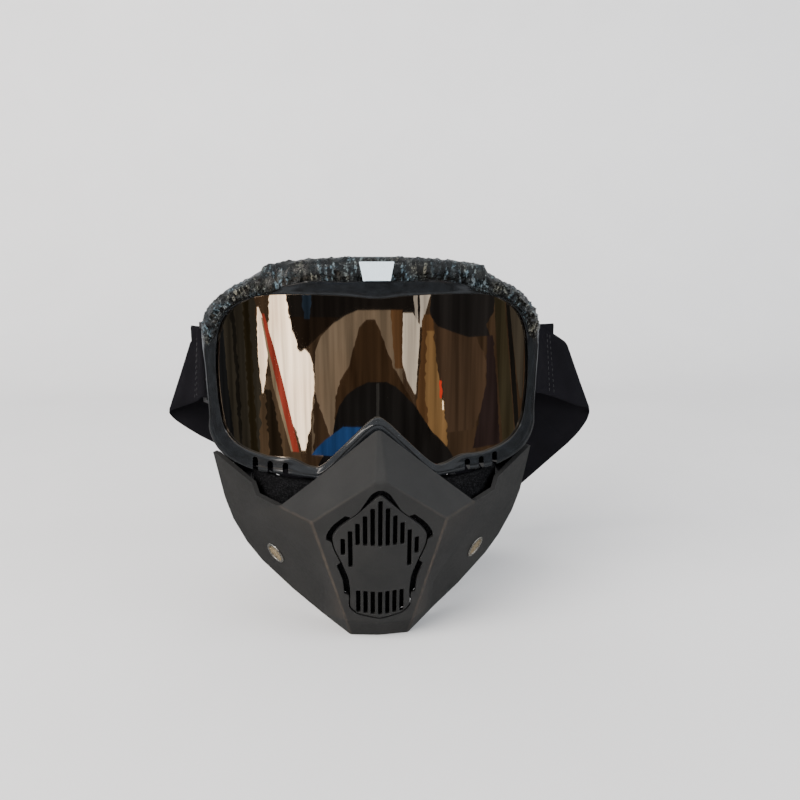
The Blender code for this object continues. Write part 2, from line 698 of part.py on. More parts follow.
def vent_insert():
    folds_x, folds_z = panel_folds()
    plate = bent_plate("vent_insert", vent_outline(-GAP / 2), 0.3, 3.6, panel_depth,
                       folds_x, folds_z, "mask_plastic")
    rim = bent_plate("vent_rim", vent_outline(2.4), 3.0, 4.3, panel_depth,
                     folds_x, folds_z, "mask_plastic")
    combine(plate, [rim], "UNION")
    rows = [(i, 81.5 - 4.4 * abs(i), {4: 44.5, 5: 51}.get(abs(i), 57)) for i in range(-5, 6)]
    rows += [(i, 31.0, 18.2) for i in range(-3, 4)]
    combine(plate, slot_boxes("slot", rows, -8, 14), "DIFFERENCE")


def filter_parts():
    """Foam filter behind the vent insert, and the grille that holds it there."""
    folds_x, folds_z = panel_folds()
    bent_plate("filter_pad", vent_outline(-1.2), 4.7, 9.6, panel_depth, folds_x, folds_z, "foam")
    cover = bent_plate("filter_cover", vent_outline(-1.2), 10.0, 11.6, panel_depth,
                       folds_x, folds_z, "matte_black")
    rows = [(i, 74.0 - 5 * abs(i), 30.0) for i in (-3, -1, 1, 3)]
    combine(cover, slot_boxes("cover_slot", rows, 4, 22), "DIFFERENCE")
    place_origin(cover, (0, panel_depth(0, 50) + 10.0, 50))


def eyelet_point(side, height):
    """Point on the eyelet's axis, this far out from the shell's outer face."""
    base = Vector((EYELET_X, jaw_depth(EYELET_X, EYELET_Z), EYELET_Z))
    return mirrored(base + JAW_NORMAL * height, side)


def eyelet(name, side):
    centre, axis = eyelet_point(side, 0), mirrored(JAW_NORMAL, side)
    turned(f"eyelet_{name}", ((4.6, 1.1), (6.4, 1.1), (6.9, 0.8), (6.9, 0.35), (5.2, 0.35),
                              (5.2, -4.0), (4.6, -4.0)), centre, axis, "steel")
    turned(f"eyelet_washer_{name}", ((5.55, -3.2), (7.2, -3.2), (7.2, -3.9), (5.55, -3.9)),
           centre, axis, "steel")
    rod(f"eyelet_mesh_{name}", 4.25, eyelet_point(side, -0.6), eyelet_point(side, 0.1), "mesh")


STUD_BLOCK = ((67.6, 76), (69.5, 77.5), 38.6)     # x range, z range and back face


def cheek_inside(x, z):
    """Depth just inside the mask's wall behind the step, where the stud's block is bonded."""
    step, cheek, tip = (Vector(MASK_POINTS[n]) for n in ("step", "cheek", "tip"))
    normal = (cheek - step).cross(tip - step).normalized()
    clear = SHELL + GAP + 0.25
    return step.y - (normal.x * (x - step.x) + normal.z * (z - step.z) + clear) / normal.y


def mask_stud(name, side):
    """Block bonded inside the cheek, with the stud that plugs into the frame's lug."""
    (near, far), (low, high), back = STUD_BLOCK
    rings = []
    for z in (low, high):
        rings.append([mirrored(p, side) for p in ((near, cheek_inside(near, z), z),
                                                  (far, cheek_inside(far, z), z),
                                                  (far, back, z), (near, back, z))])
    block = loft(f"mask_stud_{name}", rings, "matte_black")
    combine(block, [rod(f"stud_{name}", STUD_RADIUS, (STUD_X * side, back - 2, STUD_Z),
                        (STUD_X * side, 47.5, STUD_Z), "matte_black", 20)], "UNION")


# Seal between the cheek and the goggles: x, front face, lower edge
SEAL_PATH = ((31.5, -0.5, 71), (40, 3.5, 68.5), (50, 9.2, 66), (58, 18.2, 66.5), (65.5, 27.2, 68.5))
SEAL_TOP, SEAL_THICK = 83.0, 4.0


def cheek_seal(name, side):
    """Soft strip bonded inside the mask's upper edge, which fills the gap to the frame."""
    rings = []
    for x, front, low in smooth(SEAL_PATH, 2):
        back = front + SEAL_THICK
        ring = ((x, front, low), (x, back, low), (x, back, SEAL_TOP), (x, front, SEAL_TOP))
        rings.append([mirrored(p, side) for p in ring])
    loft(f"cheek_seal_{name}", rings, "foam")


def face_mask():
    mask_shell()
    vent_insert()
    filter_parts()
    for name, side in SIDES:
        eyelet(name, side)
        mask_stud(name, side)
        cheek_seal(name, side)


def build():
    clear_scene()
    goggles()
    for name, side in SIDES:
        outrigger(name, side)
        hinge_pin(name, side)
        side_strap(name, side)
        slider(name, side)
    strap_back()
    silicone_grip()
    face_mask()


build()
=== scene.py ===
"""Looks of the motorcycle goggles with a detachable face mask.

Shapes are worked out in millimetres, and MM turns them into Blender's metres.
The front faces -Y, up is +Z, and the wearer's left is +X.
"""
import math

import bmesh
import bpy
from mathutils import Matrix, Vector, noise


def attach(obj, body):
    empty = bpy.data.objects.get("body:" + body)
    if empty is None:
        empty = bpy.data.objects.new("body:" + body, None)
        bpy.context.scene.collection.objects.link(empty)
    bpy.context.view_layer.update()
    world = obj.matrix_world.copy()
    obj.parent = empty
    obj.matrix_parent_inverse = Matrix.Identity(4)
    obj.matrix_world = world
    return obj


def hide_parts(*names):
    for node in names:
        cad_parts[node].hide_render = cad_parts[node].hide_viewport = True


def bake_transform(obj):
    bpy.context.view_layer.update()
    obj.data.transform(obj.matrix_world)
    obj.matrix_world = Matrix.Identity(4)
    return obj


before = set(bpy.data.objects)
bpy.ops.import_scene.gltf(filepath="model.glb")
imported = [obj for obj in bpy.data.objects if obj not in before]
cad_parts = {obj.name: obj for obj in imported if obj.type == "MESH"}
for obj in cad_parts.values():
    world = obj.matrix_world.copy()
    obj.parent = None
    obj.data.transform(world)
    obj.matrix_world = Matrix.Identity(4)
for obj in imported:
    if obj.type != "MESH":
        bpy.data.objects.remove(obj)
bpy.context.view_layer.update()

MM = 0.001
GAP = 0.35                      # air kept between neighbouring pieces
SIDES = (("left", 1), ("right", -1))
UP = (0, 0, 1)

# Goggle frame. Each station: lens opening (x, z), outer edge (x, z), (width of the smooth
# lip, share of the crinkled pattern), for the wearer's left half, from the brow to the nose.
STATIONS = (
    ((0, 173.8), (0, 193), (8.2, 1)), ((14, 175), (16, 192.8), (6.6, 1)),
    ((32, 175.6), (35, 191.5), (6.2, 1)), ((53, 175), (54, 188.6), (2.0, 1)),
    ((66, 171.5), (69, 180.5), (2.0, 1)), ((75.5, 164.5), (83.5, 170.5), (2.0, 1)),
    ((80.5, 155), (91, 160), (2.2, 1)), ((82.5, 143), (92, 147), (4.4, 0)),
    ((83, 130), (90.4, 130), (4.6, 0)), ((82, 115), (90, 111.5), (5.0, 0)),
    ((79.5, 104.5), (90.4, 99.5), (6.6, 0)), ((72, 97), (83, 89.5), (7.0, 0)),
    ((58, 93.4), (65, 84), (6.6, 0)), ((44, 93.4), (47, 84), (5.6, 0)),
    ((34, 90), (35, 83.4), (3.2, 0)), ((27.5, 91.5), (27, 83.6), (3.2, 0)),
    ((14, 104.5), (14, 95.4), (3.2, 0)), ((5, 113.4), (5, 104.2), (3.2, 0)),
    ((0, 116), (0, 107.0), (3.2, 0)),
)
LENS_BEND = 120.0
LENS_FRONT, LENS_BACK = 1.3, 2.3
GROOVE_DEPTH, GROOVE_FRONT, GROOVE_BACK = 1.9, 1.0, 2.6
RIM_BACK, FRAME_WALL = 6.5, 2.4
FLANGE_WIDTH, FLANGE_THICK = 15.0, 2.2
BACK_AT_CENTRE, BACK_RISE, HALF_WIDTH = 26.0, 34.0, 94.0
BLOCK_HALF, BLOCK_STEP = 55.5, 0.5      # raised middle of the brow
SHOULDER_DROP = 2.2                     # the shoulder starts this far below the block
CRINKLE = 0.8                           # height of the crinkled relief
WALL_STEPS = 5                          # rows of points on the outer wall
LOW_VENTS = ((46.5, 86.3), (54.5, 86.3), (62.5, 87.4))      # middles of the slots
TOP_VENTS = (22, 43)
FOAM_WIDTH = 8.0

PIN_AT = (90.5, 64.5)
PIN_BORE, EAR_RADIUS, EAR_THICK = 1.86, 4.0, 5.0
EAR_LOW, BARREL_LOW, BARREL_HIGH, EAR_HIGH = 114.5, 120.0, 146.0, 151.5
ARM_ANGLE = math.radians(34)
ARM_LOW, ARM_HIGH = 109.6, 156.4
STRAP_BAR, BAR_RADIUS = 12.0, 1.5       # the bar's distance from the pin, and its radius
STRAP_WIDTH, STRAP_THICK = 40.0, 1.8
SLIDER_LONG, SLIDER_DEEP, SLIDER_RAIL = 18.0, 5.2, 3.0
SLIDER_REST = {"left": 62.0, "right": 45.0}

SHELL = 2.4
JAW_NORMAL = Vector((0.70, -0.60, -0.38)).normalized()
JAW_POINT = Vector((48, 8, 52))
EYELET_X, EYELET_Z, EYELET_HOLE = 55, 34.5, 5.6
SLOT_WIDTH, SLOT_PITCH = 2.1, 3.6
PANEL_SLOPE = 0.225
PANEL_RIDGE = ((96.0, -30.2), (68.0, -22.5), (40.0, -18.0), (12.5, -13.4))


def adjust(thing, **values):
    """Set the attributes of a Blender thing, and give it back."""
    for name, value in values.items():
        setattr(thing, name, value)
    return thing


# ---------------------------------------------------------------- materials

class Tree:
    """A material's nodes, with short calls to add and join them."""

    def __init__(self, name, **values):
        self.material = bpy.data.materials.new(name)
        self.material.use_nodes = True
        self.nodes = self.material.node_tree.nodes
        self.shader = self.nodes["Principled BSDF"]
        self.set(**values)

    def put(self, socket, value):
        if isinstance(value, bpy.types.NodeSocket):
            self.material.node_tree.links.new(value, socket)
        else:
            socket.default_value = value

    def set(self, **values):
        for socket, value in values.items():
            self.put(self.shader.inputs[socket.replace("_", " ")], value)

    def node(self, kind, **settings):
        return adjust(self.nodes.new(f"ShaderNode{kind}"), **settings)

    def join(self, node, inputs, output=0):
        """The node's output, once its inputs are set to values or joined to outputs."""
        for socket, value in inputs.items():
            self.put(node.inputs[socket], value)
        return node.outputs[output]

    def add(self, kind, output=0, settings={}, **inputs):
        return self.join(self.node(kind, **settings), inputs, output)

    def math(self, operation, *values):
        return self.join(self.node("Math", operation=operation), dict(enumerate(values)))

    def times(self, a, b):
        return self.math("MULTIPLY", a, b)

    def vary(self, base, value, amount):
        """The base, and on top of it the value times the amount."""
        return self.math("ADD", base, self.times(value, amount))

    def place(self, scale=(1000, 1000, 1000), uv=None):
        """Object coordinates, or a UV map's, scaled. The scale makes one unit a millimetre."""
        if uv:
            where = self.add("UVMap", "UV", {"uv_map": uv})
        else:
            where = self.add("TexCoord", "Object")
        return self.add("Mapping", "Vector", Vector=where, Scale=scale)

    def noise(self, where, scale=1.0, detail=3.0, rough=0.55, distortion=0.0):
        return self.add("TexNoise", "Fac", Vector=where, Scale=scale, Detail=detail,
                        Roughness=rough, Distortion=distortion)

    def cells(self, where, scale=1.0, output="Distance"):
        return self.add("TexVoronoi", output, Vector=where, Scale=scale)

    def wave(self, where, scale, direction):
        return self.add("TexWave", "Fac", {"bands_direction": direction}, Vector=where,
                        Scale=scale)

    def ramp(self, value, *stops):
        """Colours or greys between stops of (position, colour)."""
        node = self.node("ValToRGB")
        elements = node.color_ramp.elements
        while len(elements) < len(stops):
            elements.new(0.5)
        for element, (position, colour) in zip(elements, stops):
            element.position = position
            shade = colour if isinstance(colour, tuple) else (colour,) * 3
            element.color = (*shade, 1.0)
        return self.join(node, {"Fac": value})

    def mix(self, share, a, b, blend="MIX"):
        a, b = ((*value, 1.0) if isinstance(value, tuple) else value for value in (a, b))
        return self.join(self.node("Mix", data_type="RGBA", blend_type=blend),
                         {0: share, 6: a, 7: b}, 2)

    def attribute(self, name):
        return self.add("Attribute", "Fac", {"attribute_name": name})

    def shift(self, where, offset, amount):
        """Texture coordinates bent by a noise, the same way along each axis."""
        bend = self.add("CombineXYZ", X=offset, Y=offset, Z=offset)
        bend = self.join(self.node("VectorMath", operation="SCALE"), {0: bend, "Scale": amount})
        return self.join(self.node("VectorMath"), {0: where, 1: bend})

    def bump(self, *layers):
        """Bump from (height, depth in mm, strength) layers, one on another."""
        normal = {}
        for height, depth, strength in layers:
            normal["Normal"] = self.add("Bump", "Normal", Strength=strength,
                                        Distance=depth * MM, Height=height, **normal)
        self.set(**normal)


def frame_look():
    """Gloss black, with a crinkled dark foil print where the frame's relief is; in it, lighter
    flakes are painted highlights, blue and brown patches are painted reflections, and darker folds
    are painted shade.
    """
    t = Tree("frame_gloss", Specular_IOR_Level=0.6)
    ring = t.place((1, 1, 1), "ring")
    print_share = t.ramp(t.attribute("pattern"), (0.1, 0.0), (0.5, 1.0))
    bent = t.shift(ring, t.noise(ring, 0.5, 3.0), 3.0)
    shards = t.shift(t.place((1.15, 0.34, 1), "ring"), t.noise(ring, 0.45, 3.0), 1.4)
    flake = t.cells(shards, 0.62, "Color")
    fine = t.cells(t.shift(ring, t.noise(ring, 1.1, 2.0), 0.9), 1.15, "Color")
    # Dark tone drifting into blue and brown patches: painted reflections of the surroundings in
    # the crinkles.
    tint_and_painted_reflection = t.ramp(t.noise(ring, 0.05, 2.0), (0.36, (0.020, 0.022, 0.022)),
                  (0.46, (0.014, 0.022, 0.027)), (0.54, (0.021, 0.022, 0.019)),
                  (0.64, (0.026, 0.024, 0.018)))
    # Flakes from dark to several times lighter: painted highlights and painted shade of the
    # crinkle's facets.
    shade = t.ramp(t.times(flake, t.math("ADD", 0.35, fine)),
                   (0.2, 0.08), (0.48, 0.45), (0.66, 1.4), (0.82, 5.5))
    print_with_painted_light = t.mix(1.0, tint_and_painted_reflection, shade, "MULTIPLY")
    # Darker towards the folds between cells: painted shade in the crinkles.
    painted_fold_shade = t.ramp(t.cells(bent, 0.55), (0.25, 1.0), (0.75, 0.35))
    print_with_painted_light = t.mix(1.0, print_with_painted_light, painted_fold_shade, "MULTIPLY")
    smoke = t.ramp(t.noise(ring, 0.2, 4.0), (0.3, (0.006, 0.0065, 0.007)),
                   (0.75, (0.012, 0.0135, 0.0155)))
    scuffs = t.noise(t.place((150, 150, 150)), 1.0, 2.0)
    smear = t.noise(t.place((60, 60, 60)), 1.0, 2.0)
    rough = t.math("ADD", t.times(print_share, t.times(fine, 0.3)), t.vary(0.10, scuffs, 0.04))
    t.set(Base_Color=t.mix(print_share, smoke, print_with_painted_light), Roughness=rough)
    t.bump((t.times(flake, print_share), 0.9, 1.0), (t.times(fine, print_share), 0.4, 1.0),
           (smear, 0.03, 0.1))
    return t.material


def lens_look():
    """Bronze mirror coating, a little uneven, with dust and fine wiping scratches."""
    t = Tree("lens_mirror", Metallic=1.0, Coat_Weight=0.15, Coat_Roughness=0.02)
    where = t.place()
    coating = t.ramp(t.noise(where, 0.03, 4.0), (0.3, (0.80, 0.66, 0.52)),
                     (0.7, (0.86, 0.75, 0.62)))
    wipe = t.noise(t.place((900, 900, 60)), 1.0, 4.0, 0.7)
    dust = t.ramp(t.noise(where, 1.6, 5.0, 0.8), (0.66, 0.0), (0.8, 0.12))
    t.set(Base_Color=t.mix(dust, coating, (0.6, 0.57, 0.52)), Roughness=t.vary(0.012, wipe, 0.02))
    t.bump((wipe, 0.003, 0.2), (t.noise(t.place((45, 45, 8)), 1.0, 2.0), 0.2, 0.06))
    return t.material


def badge_look():
    """Satin plate, blank, pale blue with a vertical brushing and worn spots."""
    t = Tree("badge", Metallic=0.15, Specular_IOR_Level=0.55)
    brushed = t.noise(t.place((3200, 3200, 240)), 1.0, 4.0)
    worn = t.noise(t.place((420, 420, 420)), 1.0, 5.0, 0.7)
    pale = t.ramp(brushed, (0.3, (0.60, 0.71, 0.78)), (0.7, (0.72, 0.82, 0.88)))
    t.set(Base_Color=t.mix(t.ramp(worn, (0.6, 0.0), (0.75, 0.35)), pale, (0.5, 0.56, 0.6)),
          Roughness=t.vary(0.3, brushed, 0.2))
    t.bump((brushed, 0.02, 0.4))
    return t.material


def mask_look():
    """Satin charcoal plastic: fine moulded grain, handling marks and worn brown creases."""
    t = Tree("mask_plastic", Specular_IOR_Level=0.22)
    where = t.place()
    grain = t.noise(where, 3.2, 3.0, 0.6)
    cloud = t.noise(where, 0.035, 4.0, 0.6)
    rub = t.noise(where, 0.5, 5.0, 0.75)
    body = t.ramp(cloud, (0.32, 0.0155), (0.68, (0.022, 0.0215, 0.021)))
    body = t.mix(t.ramp(grain, (0.35, 0.0), (0.75, 0.5)), body, (0.028, 0.028, 0.027))
    wear = t.times(t.attribute("wear"), t.ramp(rub, (0.34, 0.15), (0.62, 1.0)))
    t.set(Base_Color=t.mix(wear, body, (0.11, 0.08, 0.058)),
          Roughness=t.vary(t.vary(0.36, rub, 0.22), wear, 0.15))
    t.bump((grain, 0.05, 0.5), (t.cells(where, 2.4), 0.04, 0.35), (cloud, 0.25, 0.2))
    return t.material


def foam_look():
    """Open-cell foam: pits of several sizes, painted darker than the lighter cell walls as painted
    shade in the hollows.
    """
    t = Tree("foam", Roughness=1.0, Specular_IOR_Level=0.02)
    where = t.place()
    pit_depth_and_shade = t.cells(t.shift(where, t.noise(where, 1.1, 2.0), 0.5), 1.5)
    # The colour darkens into each pit: painted shade in the foam's hollows.
    t.set(Base_Color=t.ramp(pit_depth_and_shade, (0.1, (0.0015, 0.0015, 0.0016)),
                            (0.45, (0.0042, 0.0042, 0.0045)), (0.8, (0.013, 0.013, 0.014))))
    t.bump((pit_depth_and_shade, 0.7, 0.9), (t.cells(where, 3.6), 0.3, 0.6))
    return t.material


def fleece_look():
    """Brushed face fleece with tufts."""
    t = Tree("fleece", Roughness=1.0, Specular_IOR_Level=0.1, Sheen_Weight=0.5,
             Sheen_Roughness=0.5)
    where = t.place()
    fibre = t.noise(where, 3.4, 6.0, 0.8, 1.2)
    tuft = t.noise(where, 0.5, 4.0, 0.7)
    colour = t.ramp(tuft, (0.35, (0.014, 0.014, 0.016)), (0.7, (0.05, 0.05, 0.055)))
    t.set(Base_Color=t.mix(t.ramp(fibre, (0.45, 0.0), (0.75, 0.5)), colour, (0.075, 0.075, 0.08)))
    t.bump((fibre, 0.5, 0.9), (tuft, 0.6, 0.5))
    return t.material


def webbing_look():
    """Woven elastic: lengthwise ribs crossed by fine picks, charcoal with a purple cast."""
    t = Tree("strap", Roughness=1.0, Specular_IOR_Level=0.03)
    along = t.place((1, 1, 1), "weave")
    where = t.place()
    fuzz = t.noise(where, 2.6, 5.0, 0.75)
    bent = t.shift(along, t.noise(along, 0.5, 2.0), 0.16)
    ribs = t.wave(bent, 0.42, "Y")
    picks = t.wave(bent, 0.62, "X")
    cross = t.times(t.math("SUBTRACT", ribs, 0.5), t.math("SUBTRACT", picks, 0.5))
    knit = t.vary(t.times(cross, 2.0), ribs, 0.35)
    yarn = t.ramp(t.noise(where, 0.05, 4.0), (0.3, (0.0048, 0.0046, 0.0056)),
                  (0.7, (0.0072, 0.0068, 0.0082)))
    yarn = t.mix(t.ramp(knit, (0.1, 0.0), (0.65, 0.55)), yarn, (0.0145, 0.0138, 0.0165))
    t.set(Base_Color=t.mix(t.ramp(fuzz, (0.58, 0.0), (0.8, 0.3)), yarn, (0.024, 0.023, 0.026)))
    t.bump((knit, 0.22, 0.7), (fuzz, 0.15, 0.5))
    return t.material


def simple_look(name, tone, colours, rough, spread, bumps, fine=None,
                scale=(1000, 1000, 1000), **values):
    """Two colours by one noise, which also varies the roughness, and bumps by it and a finer."""
    t = Tree(name, **values)
    where = t.place(scale)
    tones = t.noise(where, *tone)
    heights = {"tone": tones, "fine": t.noise(where, *fine) if fine else None}
    t.set(Base_Color=t.ramp(tones, *colours),
          Roughness=t.vary(rough, tones, spread) if spread else rough)
    t.bump(*((heights[source], depth, strength) for source, depth, strength in bumps))
    return t.material


LOOKS = {
    "frame_gloss": frame_look(), "lens_mirror": lens_look(), "badge": badge_look(),
    "mask_plastic": mask_look(), "foam": foam_look(), "fleece": fleece_look(),
    "strap": webbing_look(),
    # Plain moulded black of outriggers, sliders and grille
    "matte_black": simple_look(
        "matte_black", (0.35, 5.0, 0.7), ((0.35, (0.014, 0.014, 0.015)),
                                          (0.7, (0.034, 0.034, 0.036))),
        0.4, 0.25, (("fine", 0.06, 0.6), ("tone", 0.1, 0.2)), (4.0, 3.0),
        Specular_IOR_Level=0.45),
    "silicone": simple_look(
        "silicone", (0.4, 4.0), ((0.3, (0.018, 0.018, 0.022)), (0.7, (0.04, 0.04, 0.046))),
        0.3, 0.25, [("tone", 0.15, 0.4)], Specular_IOR_Level=0.5),
    # Polished nickel with fine turning lines and a little tarnish
    "steel": simple_look(
        "steel", (0.9, 5.0, 0.7), ((0.3, (0.70, 0.67, 0.60)), (0.7, (0.86, 0.83, 0.76))),
        0.16, 0.22, [("fine", 0.015, 0.4)], (6.0, 3.0), Metallic=1.0),
    "mesh": simple_look(
        "mesh", (1.4, 4.0), ((0.3, (0.42, 0.33, 0.21)), (0.7, (0.72, 0.60, 0.42))),
        0.3, 0.3, [("tone", 0.03, 0.4)], Metallic=0.85),
    "thread": simple_look(
        "thread", (1.0, 3.0), ((0.35, (0.009, 0.009, 0.01)), (0.7, (0.024, 0.023, 0.025))),
        0.8, 0.0, [("tone", 0.06, 0.7)], scale=(5000, 5000, 2000), Sheen_Weight=0.2),
}


# ---------------------------------------------------------------- mesh helpers

def smooth(points, steps, closed=False):
    """Catmull-Rom curve through the points, with this many samples to a stretch."""
    keys = [Vector(p) for p in points]
    if closed:
        keys = [keys[-1]] + keys + keys[:2]
    else:
        keys = [2 * keys[0] - keys[1]] + keys + [2 * keys[-1] - keys[-2]]
    curve = []
    for a, b, c, d in zip(keys, keys[1:], keys[2:], keys[3:]):
        for k in range(steps):
            t = k / steps
            bend = (2 * a - 5 * b + 4 * c - d) * t * t + (3 * b - a - 3 * c + d) * t ** 3
            curve.append(0.5 * (2 * b + (c - a) * t + bend))
    if not closed:
        curve.append(keys[-2])
    return curve


def ease(low, high, value):
    """0 below low, 1 above high, smooth between them."""
    t = min(max((value - low) / (high - low), 0.0), 1.0)
    return t * t * (3 - 2 * t)


def mirrored(point, side):
    return Vector((point[0] * side, *point[1:]))


def lengths(points):
    """Length along the points up to each one, and back to the first."""
    total = [0.0]
    for a, b in zip(points, points[1:] + points[:1]):
        total.append(total[-1] + (b - a).length)
    return total


def skin(rings, closed=False, uv="weave"):
    """Mesh through closed rings of points, with UVs in millimetres along and round."""
    bm = bmesh.new()
    layer = bm.loops.layers.uv.new(uv)
    loops = [[bm.verts.new(p) for p in ring] for ring in rings]
    count = len(rings[0])
    us = lengths([sum(ring, Vector()) / count for ring in rings])
    vs = lengths(rings[0])
    last = len(rings) if closed else len(rings) - 1
    for i in range(last):
        low, high = loops[i], loops[(i + 1) % len(loops)]
        for j in range(count):
            k = (j + 1) % count
            face = bm.faces.new((low[j], low[k], high[k], high[j]))
            corners = ((i, j), (i, j + 1), (i + 1, j + 1), (i + 1, j))
            for loop, (row, column) in zip(face.loops, corners):
                loop[layer].uv = (us[row], vs[column])
    if not closed:
        bm.faces.new(list(reversed(loops[0])))
        bm.faces.new(loops[-1])
    return bm


def move_out(bm, moves):
    """Move each vertex along its normal, by the factors of its place in moves."""
    bmesh.ops.recalc_face_normals(bm, faces=bm.faces)
    bm.normal_update()
    shifts = [(v, v.normal * amount * share)
              for v, (amount, share) in zip(bm.verts, moves)]
    for vert, shift in shifts:
        vert.co += shift


def pit(bm, height, fineness, sink):
    """Uneven surface of a soft piece, in millimetres, sunk a little on the whole."""
    move_out(bm, [(height * noise.noise(v.co * fineness) - sink, 1) for v in bm.verts])
    return bm


def linked(name, data):
    obj = bpy.data.objects.new(name, data)
    bpy.context.scene.collection.objects.link(obj)
    return obj


def as_mesh(name, bm):
    mesh = bpy.data.meshes.new(name)
    bm.to_mesh(mesh)
    bm.free()
    return mesh


def raw(name, bm, turn_faces=True):
    """Plain object from millimetre geometry."""
    if turn_faces:
        bmesh.ops.recalc_face_normals(bm, faces=bm.faces)
    mesh = as_mesh(name, bm)
    mesh.transform(Matrix.Scale(MM, 4))
    return linked(name, mesh)


def modify(obj, kind, **settings):
    adjust(obj.modifiers.new(kind.lower(), kind), **settings)


def combine(target, tools, operation):
    for tool in tools:
        modify(target, "BOOLEAN", operation=operation, object=tool)


def settle(obj, tools=()):
    """Apply the object's modifiers and remove the tools that they used."""
    graph = bpy.context.evaluated_depsgraph_get()
    mesh = bpy.data.meshes.new_from_object(obj.evaluated_get(graph),
                                           preserve_all_data_layers=True, depsgraph=graph)
    obj.modifiers.clear()
    obj.data = mesh
    for tool in tools:
        bpy.data.objects.remove(tool, do_unlink=True)


def round_edges(obj, width, segments, angle):
    """Rounding of the edges that are sharper than the angle."""
    modify(obj, "BEVEL", width=width * MM, segments=segments, limit_method="ANGLE",
           angle_limit=math.radians(angle), harden_normals=False)


def rounded_off(obj, width, segments, angle):
    round_edges(obj, width, segments, angle)
    settle(obj)


def paint(obj, look):
    obj.data.materials.clear()
    obj.data.materials.append(LOOKS[look])


def dress(obj, look, body=None, node=None, sharp=35.0, weighted=False):
    """Smooth shading, material, the CAD part that the piece stands in for hidden, and the body
    that the piece rides on.
    """
    obj.data.shade_smooth()
    obj.data.set_sharp_from_angle(angle=math.radians(sharp))
    if weighted:
        modify(obj, "WEIGHTED_NORMAL", keep_sharp=True)
    paint(obj, look)
    if node:
        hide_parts(node)
    if body:
        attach(obj, body)
    return obj


def box(low, high, turn=None):
    """Box between two corners, given in the axes of turn when there is one."""
    bm = bmesh.new()
    bmesh.ops.create_cube(bm, size=1.0)
    low, high = Vector(map(min, low, high)), Vector(map(max, low, high))
    size = high - low
    for vert in bm.verts:
        vert.co = (low + high) / 2 + Vector(c * s for c, s in zip(vert.co, size))
        if turn:
            vert.co = turn @ vert.co
    return bm


def boxes(name, corners, turn):
    """One object for each pair of corners, to join to a moulded piece."""
    return [raw(f"{name}_{k}", box(low, high, turn)) for k, (low, high) in enumerate(corners)]


def turning(axis):
    return Vector(UP).rotation_difference(Vector(axis)).to_matrix()


def turned(profile, centre, axis, sides=64, closed=True):
    """Profile of (radius, height) turned about the axis; closed makes it a ring."""
    turn = turning(axis)
    rings = []
    for i in range(sides):
        angle = 2 * math.pi * i / sides
        spoke = Vector((math.cos(angle), math.sin(angle), 0))
        rings.append([Vector(centre) + turn @ (spoke * r + Vector((0, 0, h)))
                      for r, h in profile])
    if not closed:
        rings = [list(level) for level in zip(*rings)]
    return skin(rings, closed=closed)


def rod(radius, low, high, centre, axis=UP, sides=32):
    """Cylinder about the axis through the centre, from one height to another."""
    return turned(((radius, low), (radius, high)), centre, axis, sides, False)


def rounded(half_wide, half_tall, radius, steps=4):
    """Rounded rectangle as (across, up) offsets."""
    outline = []
    for cx, cy, start in ((1, 1, 0), (-1, 1, 90), (-1, -1, 180), (1, -1, 270)):
        for k in range(steps + 1):
            angle = math.radians(start + 90 * k / steps)
            outline.append((cx * (half_wide - radius) + radius * math.cos(angle),
                            cy * (half_tall - radius) + radius * math.sin(angle)))
    return outline


def tube(points, radius, sides=6):
    """Round thread along the points."""
    rings = []
    for i, point in enumerate(points):
        ahead = (points[min(i + 1, len(points) - 1)] - points[max(i - 1, 0)]).normalized()
        side = ahead.cross(Vector((0.31, 0.17, 0.94))).normalized()
        up = side.cross(ahead)
        rings.append([point + (side * math.cos(a) + up * math.sin(a)) * radius
                      for a in (2 * math.pi * k / sides for k in range(sides))])
    return skin(rings)


def joined(parts):
    """One mesh from several."""
    whole = bmesh.new()
    for part in parts:
        mesh = as_mesh("part", part)
        whole.from_mesh(mesh)
        bpy.data.meshes.remove(mesh)
    return whole


def fold(bm, planes):
    """Cut the faces along planes of (point, normal), so that they can bend there."""
    for point, normal in planes:
        geom = bm.verts[:] + bm.edges[:] + bm.faces[:]
        bmesh.ops.bisect_plane(bm, geom=geom, plane_co=point, plane_no=normal, dist=0.0001)


# ---------------------------------------------------------------- goggles

def lens_depth(x):
    return LENS_BEND - math.sqrt(LENS_BEND ** 2 - x * x)


def frame_back(x):
    return BACK_AT_CENTRE + BACK_RISE * (x / HALF_WIDTH) ** 2


def ring_stations(steps):
    """(lens opening, outer edge, (lip, pattern)) all the way round, as smooth curves."""
    columns = []
    for column, flip in enumerate(((-1, 1), (-1, 1), (1, 1))):
        half = [Vector(s[column]) for s in STATIONS]
        half += [Vector((p.x * flip[0], p.y)) for p in reversed(half[1:-1])]
        columns.append(smooth(half, steps, True))
    return list(zip(*columns))


def across(station, distance, depth):
    """Point this far out from the lens opening, with its y given by depth(x)."""
    opening, edge = station[:2]
    at = opening + (edge - opening).normalized() * distance
    return Vector((at.x, depth(at.x), at.y))


def section(station, points, base):
    """Points of (distance out, depth behind the base surface) at the station."""
    return [across(station, s, lambda x, d=d: base(x) + d) for s, d in points]


def ring_width(station):
    return (station[1] - station[0]).length


